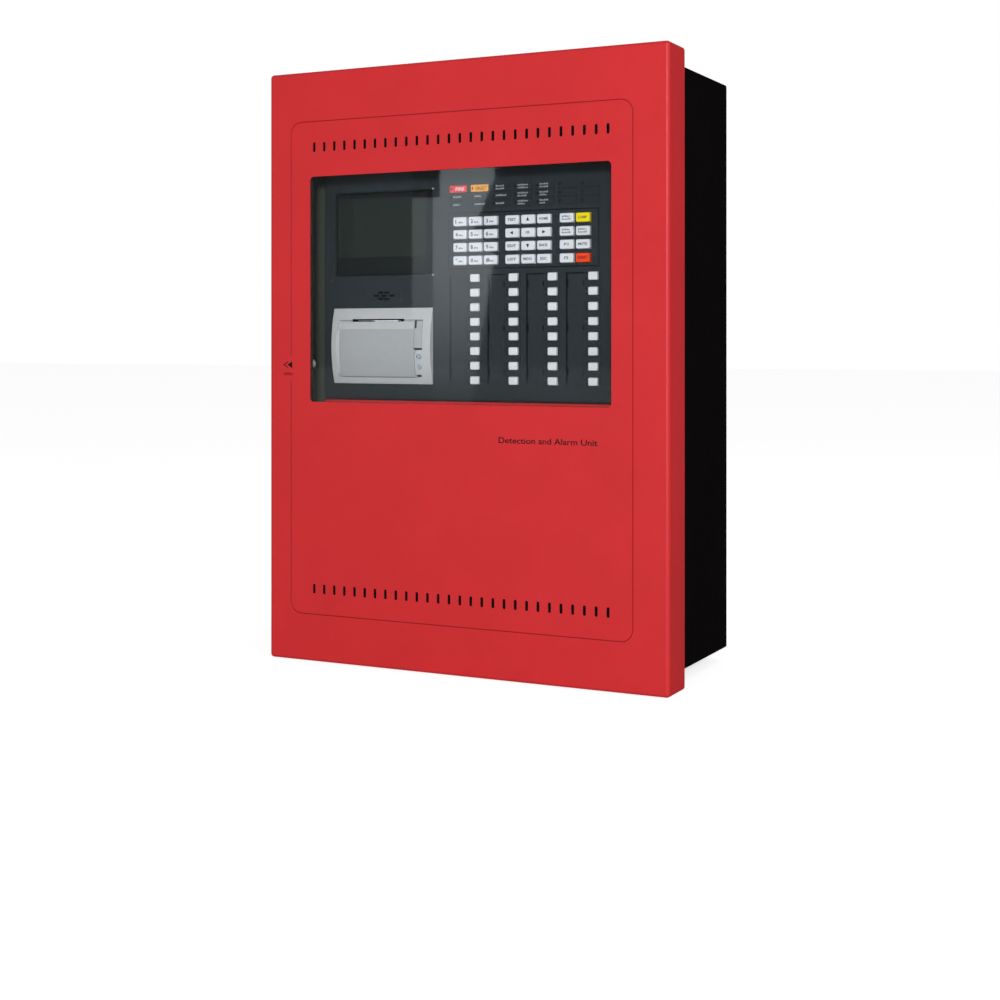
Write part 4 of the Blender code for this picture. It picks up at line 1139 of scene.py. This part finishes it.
def make_camera():
    data = bpy.data.cameras.new("camera")
    data.sensor_width = 36.0
    data.lens = CAMERA_LENS
    data.shift_y = CAMERA_RISE
    data.clip_start = 0.05
    data.clip_end = 60.0
    camera = new_object("camera", data)
    camera.location = CAMERA_PLACE
    camera.rotation_euler = (math.pi / 2, 0.0, math.radians(CAMERA_TURN))
    bpy.context.scene.camera = camera


def make_area_light(name, location, target, size, energy, mirrored=True):
    data = bpy.data.lights.new(name, "AREA")
    data.shape = "RECTANGLE"
    data.size = data.size_y = size
    data.energy = energy
    light = new_object(name, data)
    light.location = location
    direction = Vector(target) - Vector(location)
    light.rotation_euler = direction.to_track_quat("-Z", "Y").to_euler()
    light.visible_glossy = mirrored


def make_reflector(name, outline, strength, fades_over=None):
    """A glowing card in front of the panel that only shows as a reflection in the window."""
    bm = bmesh.new()
    bm.faces.new([bm.verts.new((x, REFLECTOR_Y, z)) for x, z in outline])
    card = loose_object(bm, name)
    look = Look(name, (0.0, 0.0, 0.0), 1.0)
    look.set("Emission Color", (0.86, 0.95, 1.0, 1.0))
    look.set("Emission Strength", strength)
    if fades_over:
        place = look.tree.nodes.new("ShaderNodeTexCoord")
        split = look.tree.nodes.new("ShaderNodeSeparateXYZ")
        fade = look.tree.nodes.new("ShaderNodeMapRange")
        fade.interpolation_type = "SMOOTHSTEP"
        fade.inputs["From Min"].default_value, fade.inputs["From Max"].default_value = fades_over
        fade.inputs["To Max"].default_value = strength
        look.link(place.outputs["Object"], split.inputs["Vector"])
        look.link(split.outputs["Z"], fade.inputs["Value"])
        look.link(fade.outputs["Result"], look.shader.inputs["Emission Strength"])
    card.data.materials.append(look.material)
    card.visible_camera = False
    card.visible_diffuse = False
    card.visible_shadow = False
    card.visible_transmission = False


def make_world():
    """An even white surround: full white to the camera, softer as light, and dim in reflections."""
    world = bpy.data.worlds.new("studio")
    world.use_nodes = True
    tree = world.node_tree
    path = tree.nodes.new("ShaderNodeLightPath")
    shader = tree.nodes["Background"]
    shader.inputs["Strength"].default_value = WORLD_LIGHT
    for output, strength in (("Is Glossy Ray", WORLD_REFLECTED), ("Is Camera Ray", 1.0)):
        other = tree.nodes.new("ShaderNodeBackground")
        other.inputs["Strength"].default_value = strength
        mix = tree.nodes.new("ShaderNodeMixShader")
        tree.links.new(path.outputs[output], mix.inputs["Fac"])
        tree.links.new(shader.outputs[0], mix.inputs[1])
        tree.links.new(other.outputs[0], mix.inputs[2])
        shader = mix
    for node in tree.nodes:
        if node.type == "BACKGROUND":
            node.inputs["Color"].default_value = (1.0, 1.0, 1.0, 1.0)
    tree.links.new(shader.outputs[0], tree.nodes["World Output"].inputs["Surface"])
    bpy.context.scene.world = world


def make_stage():
    bm = bmesh.new()
    bmesh.ops.create_grid(bm, x_segments=4, y_segments=4, size=FLOOR_SIZE)
    floor = loose_object(bm, "floor")
    floor.location.z = CORNER.z - 0.0005
    look = Look("floor", (0.9, 0.9, 0.9), 0.8).mottle(3.0, 0.01)
    look.set("Emission Color", (1.0, 1.0, 1.0, 1.0))
    look.set("Specular IOR Level", 0.1)
    path = look.tree.nodes.new("ShaderNodeLightPath")
    glow = look.tree.nodes.new("ShaderNodeMath")
    glow.operation = "MULTIPLY"
    glow.inputs[1].default_value = FLOOR_GLOW
    look.link(path.outputs["Is Camera Ray"], glow.inputs[0])
    look.link(glow.outputs["Value"], look.shader.inputs["Emission Strength"])
    floor.data.materials.append(look.material)
    floor.visible_glossy = False

    make_world()
    make_area_light("key", KEY_LIGHT_PLACE, (0.0, -0.2, 0.0), size=0.5, energy=91.0)
    make_area_light("fill", FILL_LIGHT_PLACE, (0.2, -0.1, 0.0), size=1.6, energy=14.0, mirrored=False)
    make_reflector("reflector_band", REFLECTOR_BAND, 2.5, REFLECTOR_FADE_Z)
    make_reflector("reflector_edge", REFLECTOR_EDGE, 1.3, REFLECTOR_FADE_Z)
    make_reflector("reflector_wide", REFLECTOR_WIDE, 0.16)


make_camera()
make_door()
make_vent_filters()
make_window()
make_title()
make_open_mark()
make_lock()
make_hinges()
make_back_box()
make_plates()
make_power_and_board()
make_facia()
make_zone_strips()
make_indicators()
make_keypad_groove_shade()
make_display()
make_keys()
make_zone_mat()
make_printer_bezel()
make_printer_door()
make_printer_lever()
make_printer_buttons()
make_printer_inside()
make_stage()
bpy.context.scene.view_settings.view_transform = "Standard"
